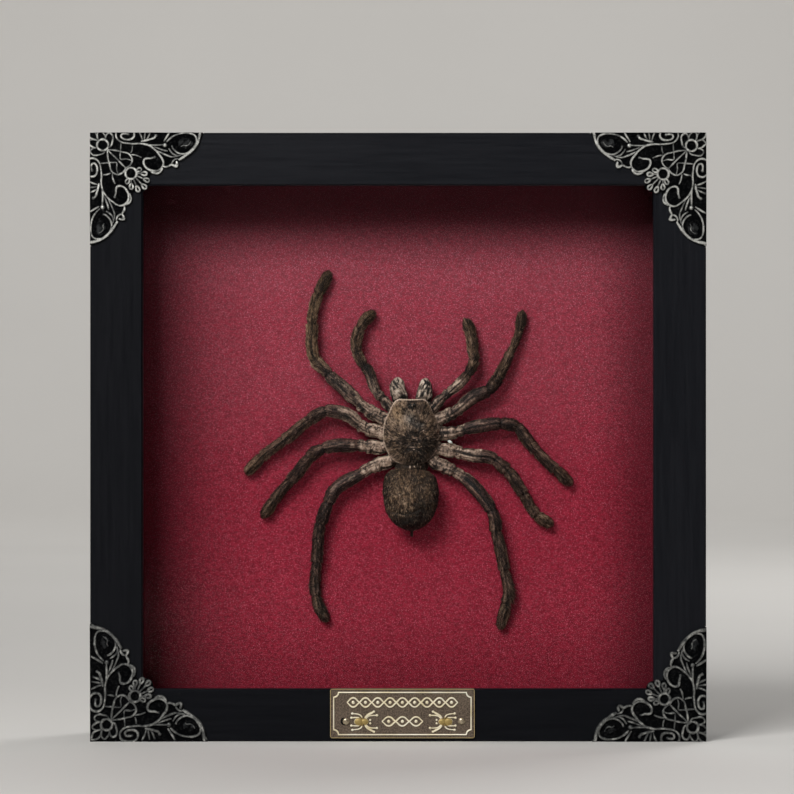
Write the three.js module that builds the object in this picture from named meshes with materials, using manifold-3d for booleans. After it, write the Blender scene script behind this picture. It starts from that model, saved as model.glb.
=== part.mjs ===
// Framed tarantula specimen: a dried spider on crimson paper in a black shadow-box frame with a glass
// front, stamped metal corners and a brass name plate. Millimetres, +Z up, the glass faces -Y. The
// origin is at the middle of the box's underside.

import * as THREE from 'three';
import { mergeVertices } from 'three/addons/utils/BufferGeometryUtils.js';
import Module from 'manifold-3d';

const wasm = await Module();
wasm.setup();

// --- driving dimensions -------------------------------------------------------------------------

// Frame
const FRAME_WIDTH = 203.2;
const FRAME_HEIGHT = 200.8;
const RAIL_WIDTH = 17.3;
const RAIL_DEPTH = 36;
const LIP_THICKNESS = 4;
const LIP_OVERHANG = 6;
const EDGE_CHAMFER = 0.5;
const MITRE_GAP = 0.1;
const TOUCH_GAP = 0.05;

// Depths of the layers, from the front face of the rails backwards
const GLASS_THICKNESS = 2;
const GLASS_CLEARANCE = 0.5;
const LINER_THICKNESS = 2.5;
const PAPER_DEPTH = 27;
const MOUNT_BOARD_THICKNESS = 3;
const BACK_BOARD_THICKNESS = 3;

// Corner ornaments: the outline starts from the centre of the flower nearest to the frame's corner,
// and each ornament sits a little differently on its corner: [flower to side, flower to top or base]
const CORNER_FLOWER = {
  top_left: [4.2, 4.1],
  top_right: [4.9, 4.3],
  bottom_left: [5.5, 5.6],
  bottom_right: [4.5, 4.7],
};
const CORNER_PLATE_THICKNESS = 0.7;
const CORNER_RELIEF = 1.2;
const FLANGE_THICKNESS = 0.5;
const FLANGE_RECESS_SCALE = 1.01;
const FLOWER_RING_OUTER = 1.9;
const FLOWER_RING_INNER = 1.35;
const FAN_RING_FROM_FLOWER = 9.3;

// Name plate
const NAME_PLATE = { x: 1.4, z: 9.3, width: 47.6, height: 16.2, thickness: 0.8 };
const NAME_PLATE_BORDER = 1.2;
const NAME_PLATE_BORDER_RELIEF = 0.35;
const PLATE_NAILS = { left: [-17.5, 6.7], right: [20.9, 6.8] };
const PLATE_NAIL_HEAD_RADIUS = 1;
const PLATE_NAIL_HEAD_HEIGHT = 0.6;
const PLATE_NAIL_SHANK_RADIUS = 0.5;
const PLATE_NAIL_LENGTH = 5;

// Back: points that hold the back board, and the hanger
const POINT = { width: 6, thickness: 0.5, buried: 6, bare: 7 };
const POINTS_ALONG = 0.27;
const HANGER = { width: 44, height: 8.5, thickness: 0.8, belowRail: 9 };
const HANGER_TEETH = 9;
const HANGER_TOOTH_DEPTH = 1.3;
const HANGER_NOTCH = 1.5;
const HANGER_NAIL_FROM_END = 3.2;
const HANGER_NAIL_HEAD_RADIUS = 1.6;
const HANGER_NAIL_HEAD_HEIGHT = 0.7;
const HANGER_NAIL_SHANK_RADIUS = 0.7;
const HANGER_NAIL_LENGTH = 3;
const NAIL_CLEARANCE = 0.08;

// Spider, in its own axes: x to its right side as seen, y to its head, z off the paper
const SPIDER_X = 4.5;
const SPIDER_Z = 101.5;
const CARAPACE = { halfWidth: 9.1, halfLength: 11.3, top: 10, rim: 6, bottom: 1.4 };
const ABDOMEN = { x: -0.2, y: -22.2, halfWidth: 8.9, halfLength: 10.3, top: 13.6, bottom: 1.2 };
const SPINNERET = { x: 0.1, y: -32.9, radius: 0.9, length: 1.7, height: 5.2 };
const CHELICERA = { halfWidth: 2.6, halfLength: 3.9, halfHeight: 2.5, height: 4.3 };
const CHELICERA_PLACES = { left: [-4.5, 14.9], right: [4.5, 14.7] };
const BODY_GAP = 0.3;

// Limb routes over the paper, [x, y] from the root at the carapace to the tip
const LIMB_ROUTES = {
  palp_left: [[-6.6, 8.1], [-8.8, 10.6], [-12.1, 14.5], [-14.4, 20.4], [-16.5, 23.1], [-18.6, 27.8],
              [-18.1, 33], [-16, 37.6], [-12.4, 40.8]],
  palp_right: [[7.5, 8.8], [9.7, 11.3], [14, 15], [18.3, 19.1], [20.6, 23.3], [20.7, 27.9], [19.9, 33.7],
               [17.9, 38.3]],
  leg_left_1: [[-9.9, 5.1], [-15, 7.9], [-19.6, 12], [-23.9, 15.9], [-28.1, 20], [-31.9, 23.8], [-33.3, 27.9],
               [-33.7, 34.6], [-32.8, 42.3], [-30.7, 48], [-27.6, 54.4]],
  leg_left_2: [[-9.9, 0.1], [-15.9, 2], [-21.3, 5.9], [-26.2, 7.5], [-31.1, 6.6], [-36.5, 2.6], [-42.7, -2.1],
               [-50.5, -8.2], [-55.5, -13.6]],
  leg_left_3: [[-10.4, -5], [-17.6, -4.2], [-26.6, -4.5], [-32.6, -6.7], [-36.2, -10.2], [-41.1, -16.6],
               [-45.5, -21.5], [-50.3, -28.3]],
  leg_left_4: [[-7.6, -9.7], [-12.6, -11.1], [-18, -14.2], [-24.6, -18.1], [-28.4, -23.9], [-30.9, -31.9],
               [-31.8, -41.2], [-32.5, -50.4], [-31.6, -57.4], [-28.6, -63.3]],
  leg_right_1: [[9.9, 5.1], [14.7, 7.3], [20.6, 11.9], [27, 15.6], [30.5, 21.2], [33.3, 26.9], [35.5, 32],
                [37.1, 37.4], [37.4, 41]],
  leg_right_2: [[9.9, -0.2], [14.2, 0.3], [20.7, 2], [28.3, 3.2], [34.7, 2.5], [38.4, -1.6], [43.9, -8],
                [49.7, -13.5], [53.9, -17.2]],
  leg_right_3: [[9.9, -5.4], [14.2, -6.1], [20.9, -7.5], [27.5, -8.8], [33.1, -13.8], [37.4, -20.4],
                [41.8, -27.3], [47.5, -30.9]],
  leg_right_4: [[8.2, -10.2], [14.7, -13], [21.2, -18.1], [26.4, -25.5], [28.9, -34.6], [30.7, -43.7],
                [32.4, -53.1], [31.7, -57.2], [29.7, -65.9]],
};
// Along a limb, from root to tip: [share of the length, height of its middle, radius]
const LEG_STATIONS = [[0, 4.2, 2.1], [0.14, 4.7, 2], [0.24, 5.3, 2.25], [0.38, 5.7, 1.9],
  [0.5, 5.3, 1.8], [0.69, 4.2, 1.65], [0.86, 2.9, 1.5], [0.96, 2.2, 1.4], [1, 2, 0.5]];
const PALP_STATIONS = [[0, 4.2, 1.6], [0.2, 4.8, 1.65], [0.45, 5.3, 1.6], [0.6, 5, 1.6],
  [0.8, 3.6, 1.6], [0.96, 2.5, 1.4], [1, 2.3, 0.5]];
const LIMB_SIDES = 8;
const LEG_STEPS = 20;
const PALP_STEPS = 16;

const GLUE_BEAD = { x: 12.9, y: -2.9, height: 5.4, halfSize: [0.75, 0.5, 0.9] };

// --- depths worked out from the dimensions above --------------------------------------------------

const NAIL_RELIEF = NAME_PLATE.thickness + 2 * TOUCH_GAP + PLATE_NAIL_HEAD_HEIGHT;
const RAIL_FRONT_Y = NAIL_RELIEF - (RAIL_DEPTH + NAIL_RELIEF) / 2;
const RABBET_FROM_OUTSIDE = RAIL_WIDTH - LIP_OVERHANG;
const RABBET_WIDTH = FRAME_WIDTH - 2 * RABBET_FROM_OUTSIDE;
const RABBET_HEIGHT = FRAME_HEIGHT - 2 * RABBET_FROM_OUTSIDE;
const GLASS_FRONT = LIP_THICKNESS + TOUCH_GAP;
const LINER_FRONT = GLASS_FRONT + GLASS_THICKNESS + TOUCH_GAP;
const LINER_BACK = PAPER_DEPTH - TOUCH_GAP;
const BACK_BOARD_FRONT = PAPER_DEPTH + MOUNT_BOARD_THICKNESS + TOUCH_GAP;
const BACK_BOARD_BACK = BACK_BOARD_FRONT + BACK_BOARD_THICKNESS;

// --- materials --------------------------------------------------------------------------------------

function finish(color, roughness, metalness = 0) {
  return new THREE.MeshStandardMaterial({ color, roughness, metalness });
}

const BLACK_WOOD = finish(0x1c1d20, 0.55);
const ANTIQUE_SILVER = finish(0x8b8d88, 0.45, 0.8);
const CLEAR_GLASS = new THREE.MeshStandardMaterial({
  color: 0xdfe8e6, roughness: 0.03, transparent: true, opacity: 0.2,
});
const CRIMSON_PAPER = finish(0x7d2234, 0.75);
const FIBREBOARD = finish(0x6d4d33, 0.85);
const STEEL = finish(0x9b9ca0, 0.4, 0.9);
const DARK_BRASS = finish(0x6a5840, 0.5, 0.8);
const NAIL_BRASS = finish(0xa88d55, 0.35, 0.9);
const DARK_CHITIN = finish(0x4a3d2f, 0.7);
const PALE_CHITIN = finish(0x9c8d78, 0.65);
const BROWN_HAIR = finish(0x6e5433, 0.9);
const DRIED_GLUE = finish(0xe6e0d4, 0.3);

// --- helpers ----------------------------------------------------------------------------------------

function toSolid(geometry) {
  const bare = geometry.index ? geometry : mergeVertices(geometry);
  bare.deleteAttribute('normal');
  bare.deleteAttribute('uv');
  const merged = mergeVertices(bare);
  return new wasm.Manifold(new wasm.Mesh({
    numProp: 3,
    vertProperties: new Float32Array(merged.attributes.position.array),
    triVerts: new Uint32Array(merged.index.array),
  }));
}

function toGeometry(solid) {
  const mesh = solid.getMesh();
  const geometry = new THREE.BufferGeometry();
  geometry.setAttribute('position', new THREE.BufferAttribute(mesh.vertProperties, 3));
  geometry.setIndex(new THREE.BufferAttribute(mesh.triVerts, 1));
  geometry.computeVertexNormals();
  return geometry;
}

function place(parent, name, geometry, material, position = [0, 0, 0]) {
  const mesh = new THREE.Mesh(geometry, material);
  mesh.name = name;
  mesh.position.set(...position);
  parent.add(mesh);
  return mesh;
}

function shapeOf(points) {
  return new THREE.Shape(points.map(([x, y]) => new THREE.Vector2(x, y)));
}

function extrude(shape, depth) {
  return new THREE.ExtrudeGeometry(shape, { depth, bevelEnabled: false, steps: 1, curveSegments: 12 });
}

// A straight panel of the frame's layers: centre x and z, the depth of its front, and its size
function layer(width, height, front, thickness, x = 0, z = FRAME_HEIGHT / 2) {
  const geometry = new THREE.BoxGeometry(width, thickness, height);
  geometry.translate(x, RAIL_FRONT_Y + front + thickness / 2, z);
  return geometry;
}

function interpolate(table, share, column) {
  const next = table.findIndex((row) => row[0] >= share);
  if (next <= 0) {
    return table[next < 0 ? table.length - 1 : 0][column];
  }
  const [before, after] = [table[next - 1], table[next]];
  const part = (share - before[0]) / (after[0] - before[0]);
  return before[column] + part * (after[column] - before[column]);
}

// --- corner ornaments ---------------------------------------------------------------------------------

// One lobe of the front outline, from the tip at the frame's edge to the fan on the diagonal
const LOBE_OUTLINE = [[32.6, -1.6], [31.4, 0.4], [29.6, 2.2], [27.3, 3.8], [25.5, 4.9], [25, 7], [24, 7.7],
  [22.8, 7.2], [20.6, 7.4], [19.4, 8.2], [18.4, 9.2], [16.8, 9.7], [15.7, 10.3], [16, 12.6], [15.4, 13.9],
  [14.7, 14.7]];
const LOBE_TIP = 33.4;
const FLANGE_OUTLINE = [[32.6, -1.6], [31.4, 0.4], [29.6, 2.2], [27.3, 3.8], [25.5, 4.9], [25, 7], [24, 7.7],
  [22.8, 7.2], [20.6, 7.4], [19.4, 8.2], [17.6, 9.1], [15.6, 9.1], [13.6, 8.2], [11.4, 8.8], [8.8, 8.2],
  [6.2, 8.8], [3.6, 8.2], [1.2, 8.8]];

// The outline on the frame's front, from the corner: [along the first edge, along the second edge]
function frontOutline([first, second]) {
  const lobe = LOBE_OUTLINE.map(([p, q]) => [first + p, second + q]);
  const mirrored = LOBE_OUTLINE.slice(0, -1).map(([p, q]) => [first + q, second + p]).reverse();
  return [[0, 0], [first + LOBE_TIP, 0], ...lobe, ...mirrored, [0, second + LOBE_TIP]];
}

// The outline folded back over one side of the frame: [along the edge, back from the front]
function flangeOutline(along, back, frontY, scale = 1) {
  const lobe = FLANGE_OUTLINE.map(([p, q]) => [(along + p) * scale, (back + q) * scale]);
  const cornerDepth = (Math.min(along, back) + FLANGE_OUTLINE.at(-1)[1]) * scale;
  return [[0, frontY], [(along + LOBE_TIP) * scale, frontY], ...lobe, [0, cornerDepth]];
}

function ringRelief(along, up) {
  const back = -CORNER_PLATE_THICKNESS / 2;
  const profile = [[FLOWER_RING_INNER, -CORNER_RELIEF], [FLOWER_RING_OUTER, -CORNER_RELIEF],
    [FLOWER_RING_OUTER, back], [FLOWER_RING_INNER, back], [FLOWER_RING_INNER, -CORNER_RELIEF]];
  const ring = new THREE.LatheGeometry(profile.map(([r, y]) => new THREE.Vector2(r, y)), 16);
  ring.translate(along, 0, up);
  return ring;
}

// Front plate and two flanges as one stamped piece, with the frame's corner at the origin, the first
// edge along +X, the second along +Z and the rails' front face at y = 0
function cornerGeometry(flower) {
  const [first, second] = flower;
  const front = extrude(shapeOf(frontOutline(flower)), CORNER_PLATE_THICKNESS - TOUCH_GAP);
  front.rotateX(Math.PI / 2);
  front.translate(0, -TOUCH_GAP, 0);
  const foldedUnder = extrude(shapeOf(flangeOutline(first, second, -TOUCH_GAP * 2)), FLANGE_THICKNESS);
  const foldedAside = extrude(
    shapeOf(flangeOutline(second, first, -TOUCH_GAP * 2).map(([along, back]) => [back, along])),
    FLANGE_THICKNESS,
  );
  foldedAside.applyMatrix4(new THREE.Matrix4().makeBasis(
    new THREE.Vector3(0, 1, 0),
    new THREE.Vector3(0, 0, 1),
    new THREE.Vector3(1, 0, 0),
  ));
  let solid = toSolid(front).add(toSolid(foldedUnder)).add(toSolid(foldedAside));
  for (const out of [0, FAN_RING_FROM_FLOWER]) {
    solid = solid.add(toSolid(ringRelief(first + out, second + out)));
  }
  return toGeometry(solid);
}

// A corner ornament is one plate turned from corner to corner, so its first edge is the side that
// comes first going round
const CORNERS = {
  bottom_left: { x: -FRAME_WIDTH / 2, z: 0, turn: 0, sideFirst: false },
  top_left: { x: -FRAME_WIDTH / 2, z: FRAME_HEIGHT, turn: 1, sideFirst: true },
  top_right: { x: FRAME_WIDTH / 2, z: FRAME_HEIGHT, turn: 2, sideFirst: false },
  bottom_right: { x: FRAME_WIDTH / 2, z: 0, turn: 3, sideFirst: true },
};

function addCorners(parent) {
  for (const [name, corner] of Object.entries(CORNERS)) {
    const [toSide, toEnd] = CORNER_FLOWER[name];
    const geometry = cornerGeometry(corner.sideFirst ? [toEnd, toSide] : [toSide, toEnd]);
    const mesh = place(parent, `corner_${name}`, geometry, ANTIQUE_SILVER,
      [corner.x, RAIL_FRONT_Y, corner.z]);
    mesh.rotation.y = corner.turn * Math.PI / 2;
  }
}

// --- rails ----------------------------------------------------------------------------------------------

// The moulding's section: x runs in from the frame's outside, y runs back from the front
function railSection() {
  return shapeOf([
    [EDGE_CHAMFER, 0],
    [RAIL_WIDTH - EDGE_CHAMFER, 0],
    [RAIL_WIDTH, EDGE_CHAMFER],
    [RAIL_WIDTH, LIP_THICKNESS],
    [RABBET_FROM_OUTSIDE, LIP_THICKNESS],
    [RABBET_FROM_OUTSIDE, RAIL_DEPTH],
    [0, RAIL_DEPTH],
    [0, EDGE_CHAMFER],
  ]);
}

// A mitred rail lying along x with its outside at z = 0 and its front at y = 0
function plainRail(length) {
  const geometry = extrude(railSection(), length);
  const position = geometry.attributes.position;
  for (let i = 0; i < position.count; i += 1) {
    const inwards = position.getX(i);
    const end = length / 2 - inwards - MITRE_GAP;
    position.setXYZ(i, position.getZ(i) > length / 2 ? -end : end, position.getY(i), inwards);
  }
  return toSolid(geometry);
}

// What a corner flange takes out of the rail: a shallow recess at one end
function flangeRecess(length, along, back, end) {
  const outline = flangeOutline(along, back, -1, FLANGE_RECESS_SCALE);
  const recess = extrude(shapeOf(outline.map(([a, y]) => [end * (length / 2 - a), y])), 1 + FLANGE_THICKNESS);
  recess.translate(0, 0, TOUCH_GAP - 1);
  return toSolid(recess);
}

function pointSlot(x) {
  const slot = new THREE.BoxGeometry(POINT.width + 0.4, POINT.thickness + 0.2, POINT.buried + 1);
  const middle = BACK_BOARD_BACK + TOUCH_GAP + POINT.thickness / 2;
  slot.translate(x, middle, RABBET_FROM_OUTSIDE - (POINT.buried + 1) / 2 + 0.4);
  return toSolid(slot);
}

// A pilot hole for a name plate's nail, from the rail's front
function nailHole(x, z) {
  const radius = PLATE_NAIL_SHANK_RADIUS + NAIL_CLEARANCE;
  const hole = new THREE.CylinderGeometry(radius, radius, PLATE_NAIL_LENGTH, 12);
  hole.translate(x, PLATE_NAIL_LENGTH / 2, z);
  return toSolid(hole);
}

// Rails in turn round the frame, each with the corners at its start (-x) and its end (+x)
const RAILS = {
  bottom: { length: FRAME_WIDTH, x: 0, z: 0, turn: 0, start: 'bottom_left', end: 'bottom_right' },
  left: { length: FRAME_HEIGHT, x: -FRAME_WIDTH / 2, z: FRAME_HEIGHT / 2, turn: 1, start: 'top_left',
    end: 'bottom_left' },
  top: { length: FRAME_WIDTH, x: 0, z: FRAME_HEIGHT, turn: 2, start: 'top_right', end: 'top_left' },
  right: { length: FRAME_HEIGHT, x: FRAME_WIDTH / 2, z: FRAME_HEIGHT / 2, turn: 3, start: 'bottom_right',
    end: 'top_right' },
};

// Distances of a corner's flower from this rail's end and from this rail's outside
function flowerFrom(corner, upright) {
  const [toSide, toEnd] = CORNER_FLOWER[corner];
  return upright ? [toEnd, toSide] : [toSide, toEnd];
}

function railGeometry(name, rail) {
  const upright = name === 'left' || name === 'right';
  let solid = plainRail(rail.length);
  solid = solid.subtract(flangeRecess(rail.length, ...flowerFrom(rail.start, upright), -1));
  solid = solid.subtract(flangeRecess(rail.length, ...flowerFrom(rail.end, upright), 1));
  for (const side of [-1, 1]) {
    solid = solid.subtract(pointSlot(side * POINTS_ALONG * rail.length));
  }
  if (name === 'bottom') {
    for (const [x, z] of Object.values(PLATE_NAILS)) {
      solid = solid.subtract(nailHole(x, z));
    }
  }
  return toGeometry(solid);
}

function addRails(parent) {
  for (const [name, rail] of Object.entries(RAILS)) {
    const mesh = place(parent, `rail_${name}`, railGeometry(name, rail), BLACK_WOOD,
      [rail.x, RAIL_FRONT_Y, rail.z]);
    mesh.rotation.y = rail.turn * Math.PI / 2;
  }
}

// A flat steel point, tip down in its rail and bare end up over the back board
function pointGeometry() {
  const { width, thickness, buried, bare } = POINT;
  const half = width / 2;
  const shoulder = half - buried - 1;
  const outline = [[-half, bare], [-half, shoulder], [0, -buried], [half, shoulder], [half, bare]];
  const geometry = extrude(shapeOf(outline), thickness);
  geometry.rotateX(Math.PI / 2);
  geometry.translate(0, thickness / 2, 0);
  return geometry;
}

// Each rail holds two points: half in its slot, half bare over the back board
function addPoints(parent) {
  for (const [name, rail] of Object.entries(RAILS)) {
    const group = new THREE.Group();
    group.position.set(rail.x, RAIL_FRONT_Y + BACK_BOARD_BACK + TOUCH_GAP + POINT.thickness / 2, rail.z);
    group.rotation.y = rail.turn * Math.PI / 2;
    for (const [end, side] of [['start', -1], ['end', 1]]) {
      place(group, `point_${name}_${end}`, pointGeometry(), STEEL,
        [side * POINTS_ALONG * rail.length, 0, RABBET_FROM_OUTSIDE]);
    }
    parent.add(group);
  }
}

// --- layers inside the frame ------------------------------------------------------------------------------

function addLayers(parent) {
  const width = RABBET_WIDTH - 2 * GLASS_CLEARANCE;
  const height = RABBET_HEIGHT - 2 * GLASS_CLEARANCE;
  place(parent, 'glass', layer(width, height, GLASS_FRONT, GLASS_THICKNESS), CLEAR_GLASS);
  place(parent, 'mount_board', layer(width, height, PAPER_DEPTH, MOUNT_BOARD_THICKNESS), CRIMSON_PAPER);

  const depth = LINER_BACK - LINER_FRONT;
  const across = (width - LINER_THICKNESS) / 2;
  const upwards = (height - LINER_THICKNESS) / 2;
  const sideHeight = height - 2 * LINER_THICKNESS - 2 * TOUCH_GAP;
  const middle = FRAME_HEIGHT / 2;
  const strips = {
    liner_bottom: layer(width, LINER_THICKNESS, LINER_FRONT, depth, 0, middle - upwards),
    liner_top: layer(width, LINER_THICKNESS, LINER_FRONT, depth, 0, middle + upwards),
    liner_left: layer(LINER_THICKNESS, sideHeight, LINER_FRONT, depth, -across),
    liner_right: layer(LINER_THICKNESS, sideHeight, LINER_FRONT, depth, across),
  };
  for (const [name, geometry] of Object.entries(strips)) {
    place(parent, name, geometry, CRIMSON_PAPER);
  }
}

function hangerNailPlaces() {
  const x = HANGER.width / 2 - HANGER_NAIL_FROM_END;
  const z = FRAME_HEIGHT - RABBET_FROM_OUTSIDE - HANGER.belowRail;
  return { left: [-x, z], right: [x, z] };
}

function addBackBoard(parent) {
  const width = RABBET_WIDTH - 2 * GLASS_CLEARANCE;
  const height = RABBET_HEIGHT - 2 * GLASS_CLEARANCE;
  let board = toSolid(layer(width, height, BACK_BOARD_FRONT, BACK_BOARD_THICKNESS));
  for (const [x, z] of Object.values(hangerNailPlaces())) {
    const radius = HANGER_NAIL_SHANK_RADIUS + NAIL_CLEARANCE;
    const hole = new THREE.CylinderGeometry(radius, radius, HANGER_NAIL_LENGTH, 12);
    hole.translate(x, RAIL_FRONT_Y + BACK_BOARD_BACK, z);
    board = board.subtract(toSolid(hole));
  }
  place(parent, 'back_board', toGeometry(board), FIBREBOARD);
}

// A strip of steel with teeth along its lower edge and a nail hole near each end
function hangerShape() {
  const half = HANGER.width / 2;
  const top = HANGER.height / 2;
  const toothed = half - 2 * HANGER_NAIL_FROM_END;
  const root = HANGER_NOTCH - top;
  const pitch = 2 * toothed / HANGER_TEETH;
  const teeth = [];
  for (let i = 0; i < HANGER_TEETH; i += 1) {
    teeth.push([-toothed + i * pitch, root]);
    teeth.push([-toothed + (i + 0.5) * pitch, root + HANGER_TOOTH_DEPTH]);
  }
  const shape = shapeOf([[-half, -top], [-toothed, -top], ...teeth, [toothed, root], [toothed, -top],
    [half, -top], [half, top], [-half, top]]);
  for (const side of [-1, 1]) {
    const hole = new THREE.Path();
    const x = side * (half - HANGER_NAIL_FROM_END);
    hole.absarc(x, 0, HANGER_NAIL_SHANK_RADIUS + NAIL_CLEARANCE, 0, 2 * Math.PI, true);
    shape.holes.push(hole);
  }
  return shape;
}

function addHanger(parent) {
  const strip = extrude(hangerShape(), HANGER.thickness);
  strip.rotateX(Math.PI / 2);
  const z = FRAME_HEIGHT - RABBET_FROM_OUTSIDE - HANGER.belowRail;
  const back = RAIL_FRONT_Y + BACK_BOARD_BACK + TOUCH_GAP + HANGER.thickness;
  place(parent, 'hanger', strip, STEEL, [0, back, z]);
  for (const [side, [x, nailZ]] of Object.entries(hangerNailPlaces())) {
    const nail = nailGeometry(HANGER_NAIL_HEAD_RADIUS, HANGER_NAIL_HEAD_HEIGHT, HANGER_NAIL_SHANK_RADIUS,
      HANGER.thickness + HANGER_NAIL_LENGTH / 2 - 2 * TOUCH_GAP);
    nail.rotateZ(Math.PI);
    place(parent, `hanger_nail_${side}`, nail, STEEL, [x, back + TOUCH_GAP, nailZ]);
  }
}

// --- name plate -----------------------------------------------------------------------------------------

// A nail along y: domed head in front of y = 0, shank behind it
function nailGeometry(headRadius, headHeight, shankRadius, shankLength) {
  const profile = [new THREE.Vector2(0, -headHeight)];
  for (let i = 1; i <= 4; i += 1) {
    const angle = i / 4 * Math.PI / 2;
    profile.push(new THREE.Vector2(headRadius * Math.sin(angle), -headHeight * Math.cos(angle)));
  }
  profile.push(new THREE.Vector2(shankRadius, 0));
  profile.push(new THREE.Vector2(shankRadius, shankLength - shankRadius));
  profile.push(new THREE.Vector2(0, shankLength));
  return new THREE.LatheGeometry(profile, 12);
}

function rectangle(width, height) {
  const [x, y] = [width / 2, height / 2];
  return [[-x, -y], [x, -y], [x, y], [-x, y]];
}

function addNamePlate(parent) {
  const { x, z, width, height, thickness } = NAME_PLATE;
  const plate = extrude(shapeOf(rectangle(width, height)), thickness);
  const inner = rectangle(width - 2 * NAME_PLATE_BORDER, height - 2 * NAME_PLATE_BORDER);
  const border = shapeOf(rectangle(width, height));
  border.holes.push(new THREE.Path(inner.map(([px, pz]) => new THREE.Vector2(px, pz))));
  const rim = extrude(border, thickness + NAME_PLATE_BORDER_RELIEF);
  let solid = toSolid(plate).add(toSolid(rim));
  for (const [nailX, nailZ] of Object.values(PLATE_NAILS)) {
    const radius = PLATE_NAIL_SHANK_RADIUS + NAIL_CLEARANCE;
    const hole = new THREE.CylinderGeometry(radius, radius, 4 * thickness, 12);
    hole.rotateX(Math.PI / 2);
    hole.translate(nailX - x, nailZ - z, 0);
    solid = solid.subtract(toSolid(hole));
  }
  const geometry = toGeometry(solid);
  geometry.rotateX(Math.PI / 2);
  place(parent, 'name_plate', geometry, DARK_BRASS, [x, RAIL_FRONT_Y - TOUCH_GAP, z]);
  for (const [side, [nailX, nailZ]] of Object.entries(PLATE_NAILS)) {
    const nail = nailGeometry(PLATE_NAIL_HEAD_RADIUS, PLATE_NAIL_HEAD_HEIGHT, PLATE_NAIL_SHANK_RADIUS,
      thickness + PLATE_NAIL_LENGTH - PLATE_NAIL_SHANK_RADIUS);
    place(parent, `plate_nail_${side}`, nail, NAIL_BRASS,
      [nailX, RAIL_FRONT_Y - thickness - 2 * TOUCH_GAP, nailZ]);
  }
}

// --- spider -----------------------------------------------------------------------------------------------

// A sphere with its poles off the paper, reshaped point by point
function reshapedSphere(columns, rows, reshape) {
  const geometry = new THREE.SphereGeometry(1, columns, rows);
  geometry.rotateX(Math.PI / 2);
  const position = geometry.attributes.position;
  for (let i = 0; i < position.count; i += 1) {
    position.setXYZ(i, ...reshape(position.getX(i), position.getY(i), position.getZ(i)));
  }
  return geometry;
}

// The front half of the body: a low dome with a straight front edge over a flatter breast plate
function carapaceGeometry(grow) {
  const { halfWidth, halfLength, top, rim, bottom } = CARAPACE;
  return reshapedSphere(24, 12, (x, y, z) => {
    const waist = y > 0 ? 1 - 0.28 * y * y : 1 - 0.12 * y * y;
    const length = y > 0 ? Math.min(y * 1.12, 1 + 0.02 * y) : y;
    const height = z > 0 ? rim + z * (top - rim) : rim + z * (rim - bottom);
    return [x * waist * (halfWidth + 0.6 + grow), length * (halfLength + grow), height + Math.sign(z) * grow];
  });
}

function abdomenGeometry() {
  const { x: middleX, y: middleY, halfWidth, halfLength, top, bottom } = ABDOMEN;
  const rise = (top - bottom) / 2;
  const sac = reshapedSphere(24, 14, (x, y, z) => {
    const fullness = 1 - 0.1 * y;
    const height = bottom + rise + z * rise * fullness;
    return [middleX + x * halfWidth * fullness, middleY + y * halfLength, height];
  });
  const nipple = reshapedSphere(10, 8, (x, y, z) => [
    SPINNERET.x + x * SPINNERET.radius,
    SPINNERET.y + y * SPINNERET.length,
    SPINNERET.height + z * SPINNERET.radius,
  ]);
  return toSolid(sac).add(toSolid(nipple));
}

function cheliceraGeometry([middleX, middleY]) {
  const { halfWidth, halfLength, halfHeight, height } = CHELICERA;
  return toSolid(reshapedSphere(14, 10, (x, y, z) => [
    middleX + x * halfWidth,
    middleY + y * halfLength,
    height + z * halfHeight * (1 - 0.15 * y),
  ]));
}

// A limb is a closed cylinder bent along its route, with the radius and height of its stations
function limbGeometry(route, stations, steps) {
  const corners = route.map(([x, y]) => new THREE.Vector3(x, y, 0));
  const flat = new THREE.CatmullRomCurve3(corners, false, 'centripetal');
  const at = (share) => {
    const point = flat.getPointAt(share);
    point.z = interpolate(stations, share, 1);
    return point;
  };
  const geometry = new THREE.CylinderGeometry(1, 1, 1, LIMB_SIDES, steps);
  const position = geometry.attributes.position;
  const up = new THREE.Vector3(0, 0, 1);
  for (let i = 0; i < position.count; i += 1) {
    const share = Math.min(Math.max(position.getY(i) + 0.5, 0), 1);
    const ahead = at(Math.min(share + 0.02, 1));
    const along = ahead.sub(at(Math.max(share - 0.02, 0))).normalize();
    const side = along.clone().cross(up).normalize();
    const over = side.clone().cross(along);
    const radius = interpolate(stations, share, 2);
    const point = at(share);
    point.addScaledVector(side, position.getX(i) * radius);
    point.addScaledVector(over, position.getZ(i) * radius);
    position.setXYZ(i, point.x, point.y, point.z);
  }
  return toSolid(geometry);
}

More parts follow.
